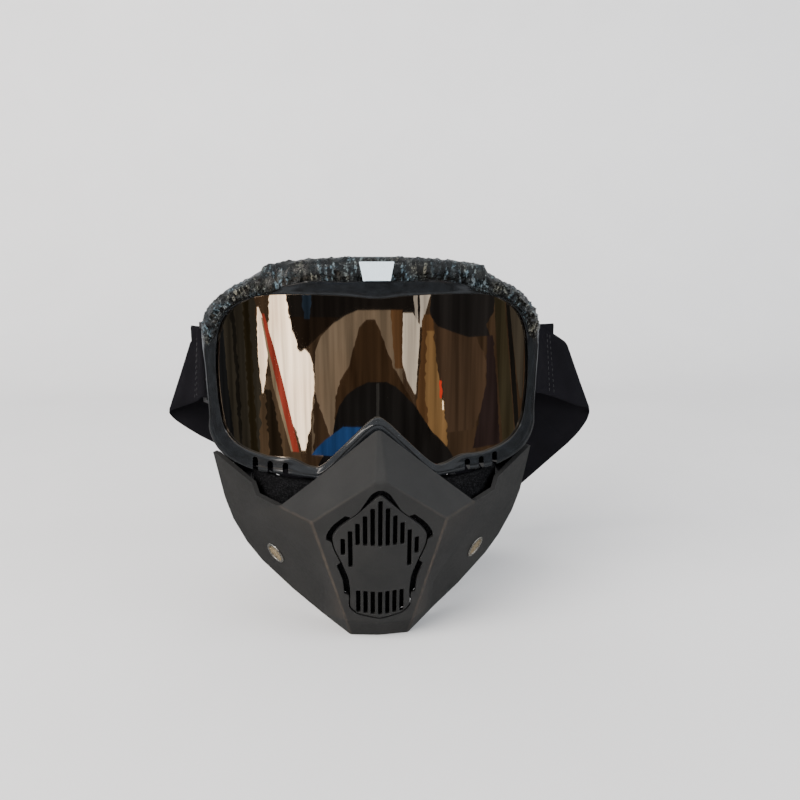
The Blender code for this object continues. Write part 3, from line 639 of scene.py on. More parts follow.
def front_profile(width, lip):
    """Front face of the frame: (distance out, depth), from the lens to the outer wall."""
    band = width - lip
    return ((0, 0.55), (0.06, 0.05), (0.35, -0.32), (0.8, -0.5), (0.35 * lip + 0.5, -0.85),
            (0.7 * lip + 0.2, -1.25), (lip - 0.25, -1.62), (lip + 0.1, -1.66),
            (lip + 0.45, -1.40), (lip + 0.9, -1.50), (lip + 0.16 * band + 0.7, -1.72),
            (lip + 0.34 * band, -1.78), (lip + 0.50 * band, -1.62), (lip + 0.64 * band, -1.2),
            (width - 2.2, -0.35), (width - 1.4, 0.4), (width - 0.75, 1.35),
            (width - 0.3, 2.5), (width - 0.05, 4.0), (width, 6.0))


def brow_step(at):
    """How far the outer edge is raised on the brow's block and dropped beside it."""
    inside = 1 - ease(BLOCK_HALF - 0.5, BLOCK_HALF + 0.5, abs(at.x))
    step = BLOCK_STEP * inside - SHOULDER_DROP * (1 - inside) * (1 - ease(60, 74, abs(at.x)))
    return step * ease(150, 160, at.y)


def frame_ring(station):
    """Closed section of the frame at a station, and each point's share of the relief."""
    width, (lip, pattern) = ring_width(station), station[2]
    step = brow_step(station[1])
    print_from = lip - 1.6 * (1 - ease(2.5, 4.0, lip))
    profile = front_profile(width, lip)
    ring = section(station, profile, lens_depth)
    for point, (s, _) in zip(ring, profile):
        point.z += step * ease(0.5 * width, width, s)
    weight = [pattern * ease(print_from, print_from + 1.0, s) for s, _ in profile]
    start, end = ring[-1], across(station, width, lambda x: frame_back(x) - 0.7)
    end.z += step * 0.5
    for k in range(1, WALL_STEPS + 1):
        ring.append(start.lerp(end, k / WALL_STEPS))
        weight.append(pattern * (1 - ease(0.5, 1.0, k / WALL_STEPS)))
    flange = width - FLANGE_WIDTH
    ring += section(station, ((width - 0.7, 0), (flange + 0.6, 0), (flange, -0.6),
                              (flange, -FLANGE_THICK + 0.6), (flange + 0.6, -FLANGE_THICK),
                              (width - FRAME_WALL, -FLANGE_THICK)), frame_back)
    ring += section(station, ((width - FRAME_WALL, RIM_BACK), (-0.8, RIM_BACK),
                              (-1.2, RIM_BACK - 0.5), (-1.2, GROOVE_BACK),
                              (GROOVE_DEPTH, GROOVE_BACK), (GROOVE_DEPTH, GROOVE_FRONT),
                              (0, GROOVE_FRONT)), lens_depth)
    return ring, weight + [0.0] * (len(ring) - len(weight))


def crinkle(p, weight):
    """Height of the brow's relief here; it stays off the badge in the middle."""
    coarse = noise.noise(Vector((p.x * 0.45, p.y * 0.25, p.z * 0.45)))
    fine = abs(noise.noise(Vector((p.x * 0.85, p.y * 0.3, p.z * 0.85 + 40))))
    return CRINKLE * weight * ease(9.0, 11.0, abs(p.x)), coarse + 1.6 * fine - 0.5


def goggle_frame():
    rings, weights = zip(*(frame_ring(station) for station in ring_stations(14)))
    bm = skin(rings, True, "ring")
    flat = [w for weight in weights for w in weight]
    layer = bm.verts.layers.float.new("pattern")
    for vert, weight in zip(bm.verts, flat):
        vert[layer] = weight
    move_out(bm, [crinkle(vert.co, weight) for vert, weight in zip(bm.verts, flat)])
    shell = raw("goggle_frame_shell", bm)
    adds, cuts = frame_ears() + frame_lugs(), frame_cutters()
    combine(shell, adds, "UNION")
    combine(shell, cuts, "DIFFERENCE")
    settle(shell, adds + cuts)
    dress(shell, "frame_gloss", "goggles", "goggle_frame", 32)


def frame_ears():
    """Two ears a side, which hold the outrigger's pin."""
    ears = []
    for name, side in SIDES:
        for low in (EAR_LOW, EAR_HIGH - EAR_THICK):
            outline = [(86.8, 55.5), (93.2, 55.5)]
            outline += [(PIN_AT[0] + EAR_RADIUS * math.cos(a),
                         PIN_AT[1] + EAR_RADIUS * math.sin(a))
                        for a in (math.pi * k / 16 for k in range(17))]
            rings = [[Vector((x * side, y, z)) for x, y in outline]
                     for z in (low, low + EAR_THICK)]
            ears.append(raw(f"ear_{name}", skin(rings)))
    return ears


def frame_lugs():
    """A lug a side hangs from the frame and takes the mask's stud, with a tab beside it."""
    corners = (((67.5, 40, 69), (77.6, 44, 90)), ((76, 42.5, 82), (83, 45.5, 91)))
    return [raw(f"lug_{name}", box(mirrored(low, side), mirrored(high, side)))
            for name, side in SIDES for low, high in corners]


def vent_cutter(middle, outline, ends, upright):
    """Bar through the frame: it runs up when upright, and else from front to back."""
    rings = [[middle + (Vector((a, b, end)) if upright else Vector((a, end, b)))
              for a, b in outline] for end in ends]
    return raw("vent", skin(rings))


def frame_cutters():
    cutters = []
    for name, side in SIDES:
        x, y = PIN_AT[0] * side, PIN_AT[1]
        cutters.append(raw(f"pin_bore_{name}", rod(PIN_BORE, 0, EAR_HIGH - EAR_LOW + 4,
                                                   (x, y, EAR_LOW - 2))))
        cutters.append(raw(f"stud_bore_{name}", rod(3.4, 0, 8, (72 * side, 38, 74), (0, 1, 0))))
        for x, z in LOW_VENTS:
            middle = Vector((x * side, lens_depth(x), z))
            cutters.append(vent_cutter(middle, rounded(1.45, 5.0, 1.2), (-4, 12), False))
        for x in TOP_VENTS:
            middle = Vector((x * side, lens_depth(x) + 12, 0))
            cutters.append(vent_cutter(middle, rounded(7.0, 3.0, 2.0), (182, 199), True))
    return cutters


def lens():
    """Sheet with the opening's outline, bent round a vertical cylinder."""
    outline = [across(s, 1.5, lambda x: 0.0) for s in ring_stations(8)]
    bm = bmesh.new()
    face = bm.faces.new([bm.verts.new((p.x, 0, p.z)) for p in outline])
    for element in bmesh.ops.extrude_face_region(bm, geom=[face])["geom"]:
        if isinstance(element, bmesh.types.BMVert):
            element.co.y = 1.0
    fold(bm, [((2.0 * k, 0, 0), (1, 0, 0)) for k in range(-41, 42)]
         + [((0, 0, 90 + 6.0 * k), UP) for k in range(15)])
    for vert in bm.verts:
        offset = LENS_BACK if vert.co.y > 0.5 else LENS_FRONT
        vert.co.y = lens_depth(vert.co.x) + offset
    dress(raw("lens_shield", bm), "lens_mirror", "goggles", "lens", 40)


def badge():
    """Blank trapezoid plate, gently crowned, on the middle of the brow."""
    outline = ((-6.2, 182.6), (6.2, 182.6), (8.0, 191.0), (-8.0, 191.0))
    rings = []
    for grow, thick in ((-0.1, 0.35), (0.25, 0.55), (0.25, 1.25), (0.1, 1.5), (-0.25, 1.62)):
        ring = []
        for x, z in outline:
            x += math.copysign(grow, x)
            z += grow if z > 186 else -grow
            ring.append(Vector((x, -1.75 + 0.22 * (z - 181.5) - thick, z)))
        rings.append(ring)
    obj = raw("badge_blank", skin(rings))
    rounded_off(obj, 0.45, 3, 30)
    dress(obj, "badge", "goggles", "badge_plate", 40, True)


def foam_inset(station):
    """The foam keeps clear of the outriggers at the temples."""
    share = min(max((abs(station[1].x) - 60) / 20, 0.0), 1.0)
    return 3.0 + (8.5 - 3.0) * share


def soft_ring(name, near, far, inset, look, node, crown):
    """Soft ring on the frame's back flange, with a crowned face and pitted surface."""
    rings = []
    for station in ring_stations(8):
        outer = ring_width(station) - foam_inset(station) - inset
        inner = outer - FOAM_WIDTH + 2 * inset
        middle, half = (outer + inner) / 2, (outer - inner) / 2
        deep = (near + far) / 2
        points = [(middle + a, (deep, b, crown * (1 - (a / half) ** 2) * (1 if b > 0 else 0)))
                  for a, b in rounded(half, (far - near) / 2, 1.2, 3)]
        rings.append([across(station, s, lambda x, d=d: frame_back(x) + d[0] + d[1] + d[2])
                      for s, d in points])
    bm = pit(skin(rings, True), 0.16, 0.9, 0.05)
    dress(raw(name, bm), look, "goggles", node, 60)


def vent_foam(name, stations, node):
    """Strip of open foam inside the frame wall, behind the vent slots."""
    rings = []
    for station in stations:
        outer = ring_width(station) - FRAME_WALL - GAP
        near = lens_depth(station[1].x) + RIM_BACK + GAP
        far = frame_back(station[1].x) - 8.5
        middle, half = (near + far) / 2, max((far - near) / 2, 0.8)
        points = [(outer - 1.8 + a, b) for a, b in rounded(1.8, half, 0.7, 2)]
        rings.append(section(station, points, lambda x, m=middle: m))
    bm = pit(skin(rings), 0.12, 1.1, 0.06)
    dress(raw(name, bm), "foam", "goggles", node, 60)


def goggles():
    goggle_frame()
    lens()
    badge()
    soft_ring("face_foam_pad", 0.7, 8.0, 0.0, "foam", "face_foam", 0.0)
    soft_ring("face_fleece_pad", 8.0 + GAP, 11.2, 0.5, "fleece", "face_fleece", 0.5)
    steps = 8
    stations = ring_stations(steps)
    top, low, high = 3 * steps, 11 * steps + 4, 13 * steps
    vent_foam("top_vent_strip", stations[-top:] + stations[:top + 1], "top_vent_foam")
    vent_foam("lower_vent_strip_left", stations[low:high + 1], "lower_vent_foam_left")
    count = len(stations)
    vent_foam("lower_vent_strip_right", stations[count - high:count - low + 1],
              "lower_vent_foam_right")


# ---------------------------------------------------------------- outriggers

def outrigger(name, side):
    """Arm that swings on the frame's pin and carries the strap bar."""
    x, y = PIN_AT[0] * side, PIN_AT[1]
    wide, waist = 3.6, 3.3
    barrel = [(PIN_BORE, BARREL_LOW), (3.2, BARREL_LOW), (wide, BARREL_LOW + 0.4)]
    for k in range(4):
        z = BARREL_LOW + 5.2 + 5.2 * k
        barrel += [(wide, z - 0.5), (waist, z - 0.25), (waist, z + 0.25), (wide, z + 0.5)]
    barrel += [(wide, BARREL_HIGH - 0.4), (3.2, BARREL_HIGH), (PIN_BORE, BARREL_HIGH)]
    arm = raw(f"outrigger_arm_{name}", turned(barrel, (x, y, 0), UP, 40))
    turn = Matrix.Translation((x, y, 0)) @ Matrix.Rotation(-ARM_ANGLE * side, 4, "Z")
    half = 1.3
    blocks = [((-half, 2.6, BARREL_LOW + 1), (half, 6.5, BARREL_HIGH - 1)),
              ((-half, 5.4, ARM_LOW), (half, 7.6, ARM_HIGH)),
              ((-half, 6.0, ARM_LOW), (half, 13.0, ARM_LOW + 2.6)),
              ((-half, 6.0, ARM_HIGH - 2.6), (half, 13.0, ARM_HIGH))]
    blocks += [((-1.75, 3.0, z - 0.7), (1.75, 7.2, z + 0.7)) for z in (124, 129, 137, 142)]
    tools = boxes(f"block_{name}", blocks, turn)
    bar = turn @ Vector((0, STRAP_BAR, 0))
    tools.append(raw(f"bar_{name}", rod(BAR_RADIUS, ARM_LOW + 1, ARM_HIGH - 1, bar, sides=24)))
    combine(arm, tools, "UNION")
    settle(arm, tools)
    rounded_off(arm, 0.3, 2, 50)
    arm.data.validate()
    dress(arm, "matte_black", f"outrigger_{name}", f"outrigger_{name}", 40, True)


def hinge_pin(name, side):
    """Steel pin with domed ends."""
    end = ((0.02, 0.1), (0.7, 0.15), (1.2, 0.35), (1.5, 0.8))
    profile = [(r, EAR_LOW + h) for r, h in end] + [(r, EAR_HIGH - h) for r, h in reversed(end)]
    bm = turned(profile, (PIN_AT[0] * side, PIN_AT[1], 0), UP, 32, False)
    dress(raw(f"pin_{name}", bm), "steel", "goggles", f"hinge_pin_{name}", 60)


# ---------------------------------------------------------------- strap

def strap_bar(side):
    return Vector((side * (PIN_AT[0] + STRAP_BAR * math.sin(ARM_ANGLE)),
                   PIN_AT[1] + STRAP_BAR * math.cos(ARM_ANGLE), 0))


def level(x, y, low=113.0, high=153.0):
    """Upright ruling of the strap."""
    return Vector((x, y, high)), Vector((x, y, low))


def bar_loop(side, run_from):
    """Rulings of the sewn tail and of the turn round the outrigger's bar."""
    bar = strap_bar(side)
    radius = BAR_RADIUS + GAP + STRAP_THICK / 2
    run = (Vector((run_from.x, run_from.y, 0)) - bar).normalized()
    start = math.atan2(run.y, run.x) + side * math.pi / 2
    inner = Vector((math.cos(start), math.sin(start), 0)) * radius
    rulings = []
    for reach in (17.0, 14.0, 11.5, 9.0, 6.0, 3.0):
        at = bar + inner * (1.0 if reach < 10 else 0.75) + run * reach
        rulings.append(level(at.x, at.y))
    for k in range(13):
        turn = start + side * math.pi * k / 12
        rulings.append(level(bar.x + radius * math.cos(turn), bar.y + radius * math.sin(turn)))
    return rulings


# Rulings (upper edge, lower edge) of each side's bend, from outrigger to straight run
BENDS = {
    "left": (((107, 80, 149), (113, 83, 107.5)), ((116.5, 85, 143.5), (131, 90.5, 100)),
             ((121, 89, 139.5), (140, 95.5, 97)), ((118, 94.5, 134), (142, 100, 90)),
             ((110, 98.5, 124), (137.5, 103, 80))),
    "right": (((-100.5, 80, 150), (-105, 83, 108)), ((-104.5, 84, 146), (-117, 89, 103)),
              ((-106, 88, 143), (-123.5, 93.5, 99.5)), ((-103, 92, 138.5), (-122, 97, 94.5)),
              ((-96, 95, 129.5), (-114.5, 98.5, 88))),
}
# Straight run of each side that carries the slider: start and end of the lower edge, lean
RUNS = {
    "left": ((131.0, 105.0, 71.5), (70.4, 110.4, 13.8), (-0.697, -0.06, 0.713)),
    "right": ((-107.0, 99.5, 82.5), (-34.6, 107.6, 38.9), (0.510, -0.03, 0.860)),
}
# Rulings behind the mask between the two straight runs, from left to right
HANG = (((36, 108, 38.6), (56, 111.3, 4.6)), ((27, 107.8, 38.4), (38, 112, 0.4)),
        ((18, 107.6, 41.5), (18, 112.2, 2.6)), ((8, 107.2, 48.8), (0, 111.6, 11.6)),
        ((-2, 106.9, 58.8), (-16, 110.2, 23.4)))


def run_frame(name):
    """Start of the lower edge, length, direction, width direction and normal of a run."""
    start, end, lean = (Vector(v) for v in RUNS[name])
    along = (end - start).normalized()
    width = (lean - along * lean.dot(along)).normalized()
    return start, (end - start).length, along, width, along.cross(width)


def run_rulings(name, distances):
    start, _, along, width, _ = run_frame(name)
    return [(start + along * d + width * STRAP_WIDTH, start + along * d) for d in distances]


def smooth_rulings(rulings, steps):
    return list(zip(*(smooth(edge, steps) for edge in zip(*rulings))))


def bight(steps):
    """Rulings behind the mask, from the end of the left run to the end of the right."""
    left, right = (run_frame(name)[1] for name, _ in SIDES)
    rulings = run_rulings("left", (left - 4, left)) + [(Vector(a), Vector(b)) for a, b in HANG]
    return smooth_rulings(rulings + run_rulings("right", (right, right - 4)), steps)


def ruling_normals(rulings):
    last = len(rulings) - 1
    normals = []
    for i, (upper, lower) in enumerate(rulings):
        before, after = rulings[max(i - 1, 0)], rulings[min(i + 1, last)]
        along = (after[0] + after[1]) - (before[0] + before[1])
        normals.append(along.cross(upper - lower).normalized())
    return normals


def webbing(rulings):
    """Flat elastic with thicker woven edges, through rulings of upper and lower edge."""
    rings = []
    half, columns = STRAP_THICK / 2, 26
    rim, groove = 0.9, 2.6          # distances from the edge
    for (upper, lower), normal in zip(rulings, ruling_normals(rulings)):
        front, back = [], []
        for k in range(columns + 1):
            share = k / columns
            edge = min(share, 1 - share) * STRAP_WIDTH
            thick = half * math.sqrt(min(1.0, 0.2 + edge / rim)) if edge < rim else half
            thick -= 0.14 * math.exp(-((edge - groove) / 0.5) ** 2)
            at = upper.lerp(lower, share)
            front.append(at + normal * thick)
            back.append(at - normal * thick)
        rings.append(front + back[::-1])
    return skin(rings)


def side_strap(name, side):
    """Strap end: sewn tail, turn round the outrigger's bar, and the bend beside the goggles."""
    bends = [(Vector(a), Vector(b)) for a, b in BENDS[name]]
    loop = bar_loop(side, (bends[0][0] + bends[0][1]) / 2)
    path = smooth_rulings(loop[-1:] + bends + run_rulings(name, (-0.02,)), 12)
    strap = raw(f"side_strap_{name}", webbing(loop[:-1] + path))
    dress(strap, "strap", None, f"strap_{name}", 50)
    stitch = raw(f"strap_stitching_{name}", stitches(path))
    dress(stitch, "thread", None, None, 60)
    for obj in (strap, stitch):
        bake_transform(obj)


def stitches(path):
    """Two rows of short stitches through the strap, beside the turn round the bar."""
    parts = []
    normals = ruling_normals(path)
    for row in (9, 12):
        (upper, lower), normal = path[row], normals[row]
        for k in range(11):
            middle = upper.lerp(lower, 0.09 + 0.82 * k / 10)
            down = (lower - upper).normalized() * 1.15
            for face in (1, -1):
                lift = normal * face * (STRAP_THICK / 2 + 0.02)
                parts.append(tube([middle + down * t + lift * (1 - 0.28 * t * t)
                                   for t in (-1, -0.5, 0, 0.5, 1)], 0.2))
    return joined(parts)


def strap_back():
    """The part behind the mask: two straight runs and the bight that reaches the floor."""
    pitch, clear = 4.0, 5           # of the rulings on a run, and what the bight takes of it
    counts = {name: int((run_frame(name)[1] - clear) / pitch) + 1 for name, _ in SIDES}
    left, right = (run_rulings(name, [pitch * k for k in range(counts[name])])
                   for name, _ in SIDES)
    path = left + bight(8) + right[::-1]
    dress(raw("back_strap", webbing(path)), "strap", "goggles", "strap_back", 50)


def slider(name):
    """Three-bar adjuster on the straight run."""
    start, _, along, width, normal = run_frame(name)
    turn = Matrix((along, width, normal)).transposed().to_4x4()
    turn.translation = start + along * SLIDER_REST[name] + width * (STRAP_WIDTH / 2)
    half, deep = SLIDER_LONG / 2, SLIDER_DEEP / 2
    inner = STRAP_WIDTH / 2 + 0.6
    near = STRAP_THICK / 2 + GAP
    reach = inner + 1.0
    body = raw(f"adjuster_{name}", box((-half, inner, -deep), (half, inner + SLIDER_RAIL, deep),
                                       turn))
    parts = [((-half, -inner - SLIDER_RAIL, -deep), (half, -inner, deep)),
             ((-half, -reach, -deep), (-half + 3, reach, -near)),
             ((half - 3, -reach, -deep), (half, reach, -near)),
             ((-1.6, -reach, near), (1.6, reach, deep))]
    tools = boxes(f"rail_{name}", parts, turn)
    combine(body, tools, "UNION")
    settle(body, tools)
    rounded_off(body, 0.7, 4, 40)
    dress(body, "matte_black", f"strap_slider_{name}", f"strap_slider_{name}", 40, True)


def silicone_grips():
    """Two wavy lines of grip on the strap's head side."""
    path = bight(12)[20:-20]
    normals = ruling_normals(path)
    lift = STRAP_THICK / 2 + GAP + 0.3
    for label, share in (("upper", 0.30), ("lower", 0.66)):
        rings = []
        for i, ((upper, lower), normal) in enumerate(zip(path, normals)):
            if normal.y > 0:
                normal = -normal
            down = (lower - upper).normalized()
            middle = upper.lerp(lower, share) + down * 0.5 * math.sin(i * 0.9)
            rings.append([middle + down * a + normal * (lift + b)
                          for a, b in rounded(1.0, 0.36, 0.33, 3)])
        dress(raw(f"grip_line_{label}", skin(rings)), "silicone", "goggles",
              f"silicone_grip_{label}", 60)


# ---------------------------------------------------------------- face mask

def panel_depth(x, z):
    """Outer face of the mask's front panel, creased down its middle."""
    for (high, near), (low, far) in zip(PANEL_RIDGE, PANEL_RIDGE[1:]):
        if z >= low or low == PANEL_RIDGE[-1][0]:
            return far + (near - far) * (z - low) / (high - low) + PANEL_SLOPE * abs(x)


def jaw_depth(x, z):
    """Outer face of the jaw facet, which carries the eyelet."""
    n, p = JAW_NORMAL, JAW_POINT
    return p.y - (n.x * (x - p.x) + n.z * (z - p.z)) / n.y


def on_panel(x, z):
    return (x, panel_depth(x, z), z)


def on_jaw(x, z):
    return (x, jaw_depth(x, z), z)


MASK_POINTS = {
    "nose": (1.2, -10, 112), "ridge": on_panel(2.9, 92), "mid": on_panel(0, 68),
    "low": on_panel(0, 40), "base": on_panel(0, 12.5), "chin": (0, -3, 0),
    "heel": (0, 12, 0), "nose_side": (28, -5, 89), "brow": on_panel(33, 68),
    "crease": on_panel(25, 40), "corner": on_panel(17.2, 12.5), "chin_side": (15, -1.5, 0),
    "heel_side": (20, 12, 0), "valley": (50, 3, 70), "notch": (62.5, 14, 72.5),
    "step": (65, 18, 78.0), "tip": (86, 37, 88.8), "tip_back": (89, 43.5, 87.8),
    "cheek": on_jaw(74.5, 53), "bend": on_jaw(48, 52), "jaw_front": on_jaw(28, 26),
    "jaw_1": on_jaw(84, 61), "jaw_2": on_jaw(81, 46), "jaw_3": on_jaw(74, 31),
    "jaw_4": on_jaw(65.3, 21), "jaw_5": on_jaw(47, 9.5), "jaw_6": on_jaw(29, 2),
}
MASK_FACES = (
    "nose ridge nose_side", "ridge brow nose_side", "nose_side brow valley", "ridge mid brow",
    "mid low crease brow", "low base corner crease", "base chin chin_side corner",
    "chin heel heel_side chin_side", "brow bend valley", "brow crease bend",
    "crease jaw_front bend", "crease corner jaw_front", "corner chin_side jaw_6",
    "corner jaw_6 jaw_front", "chin_side heel_side jaw_6",
    "cheek bend jaw_front jaw_6 jaw_5 jaw_4 jaw_3 jaw_2 jaw_1", "valley bend cheek",
    "valley cheek notch", "notch cheek step", "step cheek tip", "tip cheek tip_back",
    "tip_back cheek jaw_1",
)
# Flat strip down the nose, between the two halves: point names and their sides
NOSE_STRIP = ((("nose", 1), ("nose", -1), ("ridge", -1), ("ridge", 1)),
              (("ridge", 1), ("ridge", -1), ("mid", 0)))
# Edges by how broadly they are rounded, in millimetres; the other edges stay as they are
CREASES = {
    0.8: ("nose ridge", "chin chin_side", "chin_side jaw_6"),
    0.9: ("brow crease", "crease corner"), 1.0: ("ridge mid", "corner jaw_6"),
    1.2: ("valley bend", "jaw_front jaw_6"), 1.4: ("corner chin_side", "ridge ridge"),
    1.6: ("mid low", "low base", "brow bend", "base corner"),
    1.8: ("ridge brow", "valley brow"), 2.0: ("cheek jaw_1",), 2.8: ("bend cheek",),
    3.2: ("bend jaw_front",),
}
# Worn crease lines: pairs of points and how strong the wear is
WORN = (("brow", "crease", 0.4), ("crease", "corner", 0.3), ("valley", "brow", 0.15),
        ("corner", "chin_side", 0.2))
# Outline of the vent insert, wearer's left half, from its apex down
VENT_OUTLINE = ((0, 85.8), (12, 73.2), (20, 66), (23.4, 61), (22.6, 55), (18.6, 46),
                (15.6, 38), (14.8, 30), (15.4, 21), (11, 17.2), (0, 15.4))


def corner_cut(points):
    """Closed outline with each corner cut near its ends, so that its sides stay straight."""
    cut = []
    for a, b in zip(points, points[1:] + points[:1]):
        share = min(0.3, 1.2 / max((b - a).length, 0.01))
        cut += [a.lerp(b, share), b.lerp(a, share)]
    return cut


def vent_outline(grow):
    """The insert's whole outline, moved outward by grow(x, z)."""
    points = [Vector(p) for p in VENT_OUTLINE]
    points += [Vector((-x, z)) for x, z in reversed(VENT_OUTLINE[1:-1])]
    for _ in range(3):
        points = corner_cut(points)
    moved = []
    for i, point in enumerate(points):
        ahead = (points[(i + 1) % len(points)] - points[i - 1]).normalized()
        moved.append(point + Vector((-ahead.y, ahead.x)) * grow(abs(point.x), point.y))
    return moved


def air_gap(x, z):
    """Width of the dark gap round the insert: three broad arcs a side, narrow elsewhere."""
    apex = ease(76.0, 76.8, z)
    shoulder = ease(58.0, 59.0, z) * (1 - ease(71.2, 72.0, z))
    waist = ease(28.0, 29.0, z) * (1 - ease(46.0, 46.8, z))
    return 0.45 + 2.5 * max(apex, shoulder, waist)


def near_segment(point, a, b):
    """Distance from the point to the segment from a to b."""
    ab = b - a
    t = min(max((point - a).dot(ab) / ab.length_squared, 0.0), 1.0)
    return (point - a - ab * t).length


def mask_faces():
    """The mask's outer face as flat facets, and the name of each corner's point."""
    bm = bmesh.new()
    verts, names_of = {}, {}
    for _, side in SIDES:
        for name, point in MASK_POINTS.items():
            key = (name, side if point[0] else 0)
            if key not in verts:
                verts[key] = bm.verts.new(mirrored(point, side))
                names_of[verts[key]] = name
    for _, side in SIDES:
        for names in MASK_FACES:
            corners = [verts[(n, side if MASK_POINTS[n][0] else 0)] for n in names.split()]
            bm.faces.new(corners if side > 0 else list(reversed(corners)))
    for corners in NOSE_STRIP:
        bm.faces.new([verts[corner] for corner in corners])
    bmesh.ops.recalc_face_normals(bm, faces=bm.faces)
    front = min(bm.faces, key=lambda f: f.calc_center_median().y)
    if front.normal.y > 0:
        bmesh.ops.reverse_faces(bm, faces=bm.faces)
    return bm, names_of


def mask_shell():
    bm, names_of = mask_faces()
    weight = bm.edges.layers.float.new("bevel_weight_edge")
    widest = max(CREASES)
    widths = {frozenset(pair.split()): width for width, pairs in CREASES.items()
              for pair in pairs}
    for edge in bm.edges:
        if len(edge.link_faces) > 1 and edge.calc_face_angle(0.0) >= math.radians(4):
            pair = frozenset(names_of[v] for v in edge.verts)
            edge[weight] = widths.get(pair, 0.0) / widest
    shell = raw("mask_body", bm, False)
    modify(shell, "BEVEL", width=widest * MM, segments=4, limit_method="WEIGHT")
    modify(shell, "SOLIDIFY", thickness=SHELL * MM, offset=-1, use_even_offset=False)
    settle(shell)
    outline = vent_outline(air_gap)
    holes = [raw("vent_opening", skin([[Vector((p.x, y, p.y)) for p in outline]
                                       for y in (-34, -4)]))]
    holes += [raw(f"eyelet_hole_{name}", rod(EYELET_HOLE, -5, 3, eyelet_point(side),
                                             mirrored(JAW_NORMAL, side), 48))
              for name, side in SIDES]
    combine(shell, holes, "DIFFERENCE")
    settle(shell, holes)
    rounded_off(shell, 0.55, 3, 50)
    add_wear(shell)
    dress(shell, "mask_plastic", "face_mask", "mask_shell", 38, True)


def add_wear(shell):
    """How worn each point is, from its distance to the worn creases."""
    lines = [(mirrored(MASK_POINTS[a], side), mirrored(MASK_POINTS[b], side), strength)
             for a, b, strength in WORN for _, side in SIDES]
    wear = shell.data.attributes.new("wear", "FLOAT", "POINT")
    for vert in shell.data.vertices:
        point = vert.co / MM
        wear.data[vert.index].value = max(
            strength * (1 - ease(0.5, 1.3, near_segment(point, a, b))) for a, b, strength in lines)


def plate(name, outline, holes, front, back, bevel):
    """Plate with rounded edges and holes, bent to the mask's front panel."""
    curve = adjust(bpy.data.curves.new(name, "CURVE"), dimensions="2D", fill_mode="BOTH",
                   extrude=(back - front) / 2 - bevel, bevel_depth=bevel, bevel_resolution=2,
                   offset=-bevel)
    for loop in [outline] + holes:
        spline = curve.splines.new("POLY")
        spline.points.add(len(loop) - 1)
        for point, at in zip(spline.points, loop):
            point.co = (at[0], at[1], 0, 1)
        spline.use_cyclic_u = True
    flat = linked(name, curve)
    bpy.context.view_layer.update()
    mesh = bpy.data.meshes.new_from_object(flat)
    bpy.data.objects.remove(flat, do_unlink=True)
    bm = bmesh.new()
    bm.from_mesh(mesh)
    bpy.data.meshes.remove(mesh)
    bmesh.ops.remove_doubles(bm, verts=bm.verts, dist=0.001)
    fold(bm, [((0, 0, 0), (1, 0, 0))] + [((0, z, 0), (0, 1, 0)) for z, _ in PANEL_RIDGE[1:-1]])
    middle = (front + back) / 2
    for vert in bm.verts:
        x, z, depth = vert.co
        vert.co = (x, panel_depth(x, z) + middle + depth, z)
    return raw(name, bm)


def slot_outline(index, top, bottom, width=SLOT_WIDTH):
    middle, half = (top + bottom) / 2, (top - bottom) / 2
    return [(index * SLOT_PITCH + a, middle + b) for a, b in rounded(width / 2, half, 0.5, 3)]


def vent_insert():
    """Slotted insert, and behind the gap round it the insert's flange in the near-black foam look,
    as painted shade in the gap.
    """
    rows = [(i, 82.0 - 4.4 * abs(i), {4: 44.5, 5: 51}.get(abs(i), 57)) for i in range(-5, 6)]
    rows += [(i, 31.0, 17.6 + 0.075 * i * i) for i in range(-3, 4)]
    insert = plate("vent_grille", vent_outline(lambda x, z: -0.1),
                   [slot_outline(*row) for row in rows], 0.3, 3.2, 0.35)
    dress(insert, "mask_plastic", "face_mask", "vent_insert", 38, True)
    rim = plate("vent_rim", vent_outline(lambda x, z: air_gap(x, z) + 1.3),
                [vent_outline(lambda x, z: -1.6)], 3.4, 4.5, 0.2)
    # The flange wears the near-black foam look: painted shade for the deep gap round the insert.
    dress(rim, "foam", "face_mask", None, 38, True)


def filter_parts():
    """Foam filter behind the vent insert, and the grille that holds it there."""
    outline = vent_outline(lambda x, z: 0.4)
    pad = plate("filter_foam", outline, [], 4.8, 9.5, 0.8)
    dress(pad, "foam", "face_mask", "filter_pad", 50)
    holes = [slot_outline(i, 74.0 - 5 * abs(i), 30.0, 1.8) for i in range(-3, 4)]
    cover = plate("filter_grille", outline, holes, 10.0, 11.6, 0.3)
    dress(cover, "matte_black", "filter_cover", "filter_cover", 38, True)


def eyelet_point(side):
    """Where the eyelet's axis meets the shell's outer face."""
    return mirrored((EYELET_X, jaw_depth(EYELET_X, EYELET_Z), EYELET_Z), side)


def eyelet(name, side):
    centre, axis = eyelet_point(side), mirrored(JAW_NORMAL, side)
    lip = [(4.95, 0.4), (5.0, 0.65), (5.2, 0.85), (5.6, 0.95), (6.0, 0.85), (6.3, 0.6),
           (6.4, 0.36), (5.3, 0.3), (5.25, -4.2), (4.95, -4.2)]
    washer = [(5.55, -3.2), (7.0, -3.2), (7.2, -3.35), (7.2, -3.75), (7.0, -3.9), (5.55, -3.9)]
    for label, bm, look, node, sharp in (
            ("ring", turned(lip, centre, axis), "steel", "eyelet", 50),
            ("back_ring", turned(washer, centre, axis), "steel", "eyelet_washer", 40),
            ("gauze", gauze(centre, axis), "mesh", "eyelet_mesh", 60)):
        dress(raw(f"eyelet_{label}_{name}", bm), look, "face_mask", f"{node}_{name}", sharp)


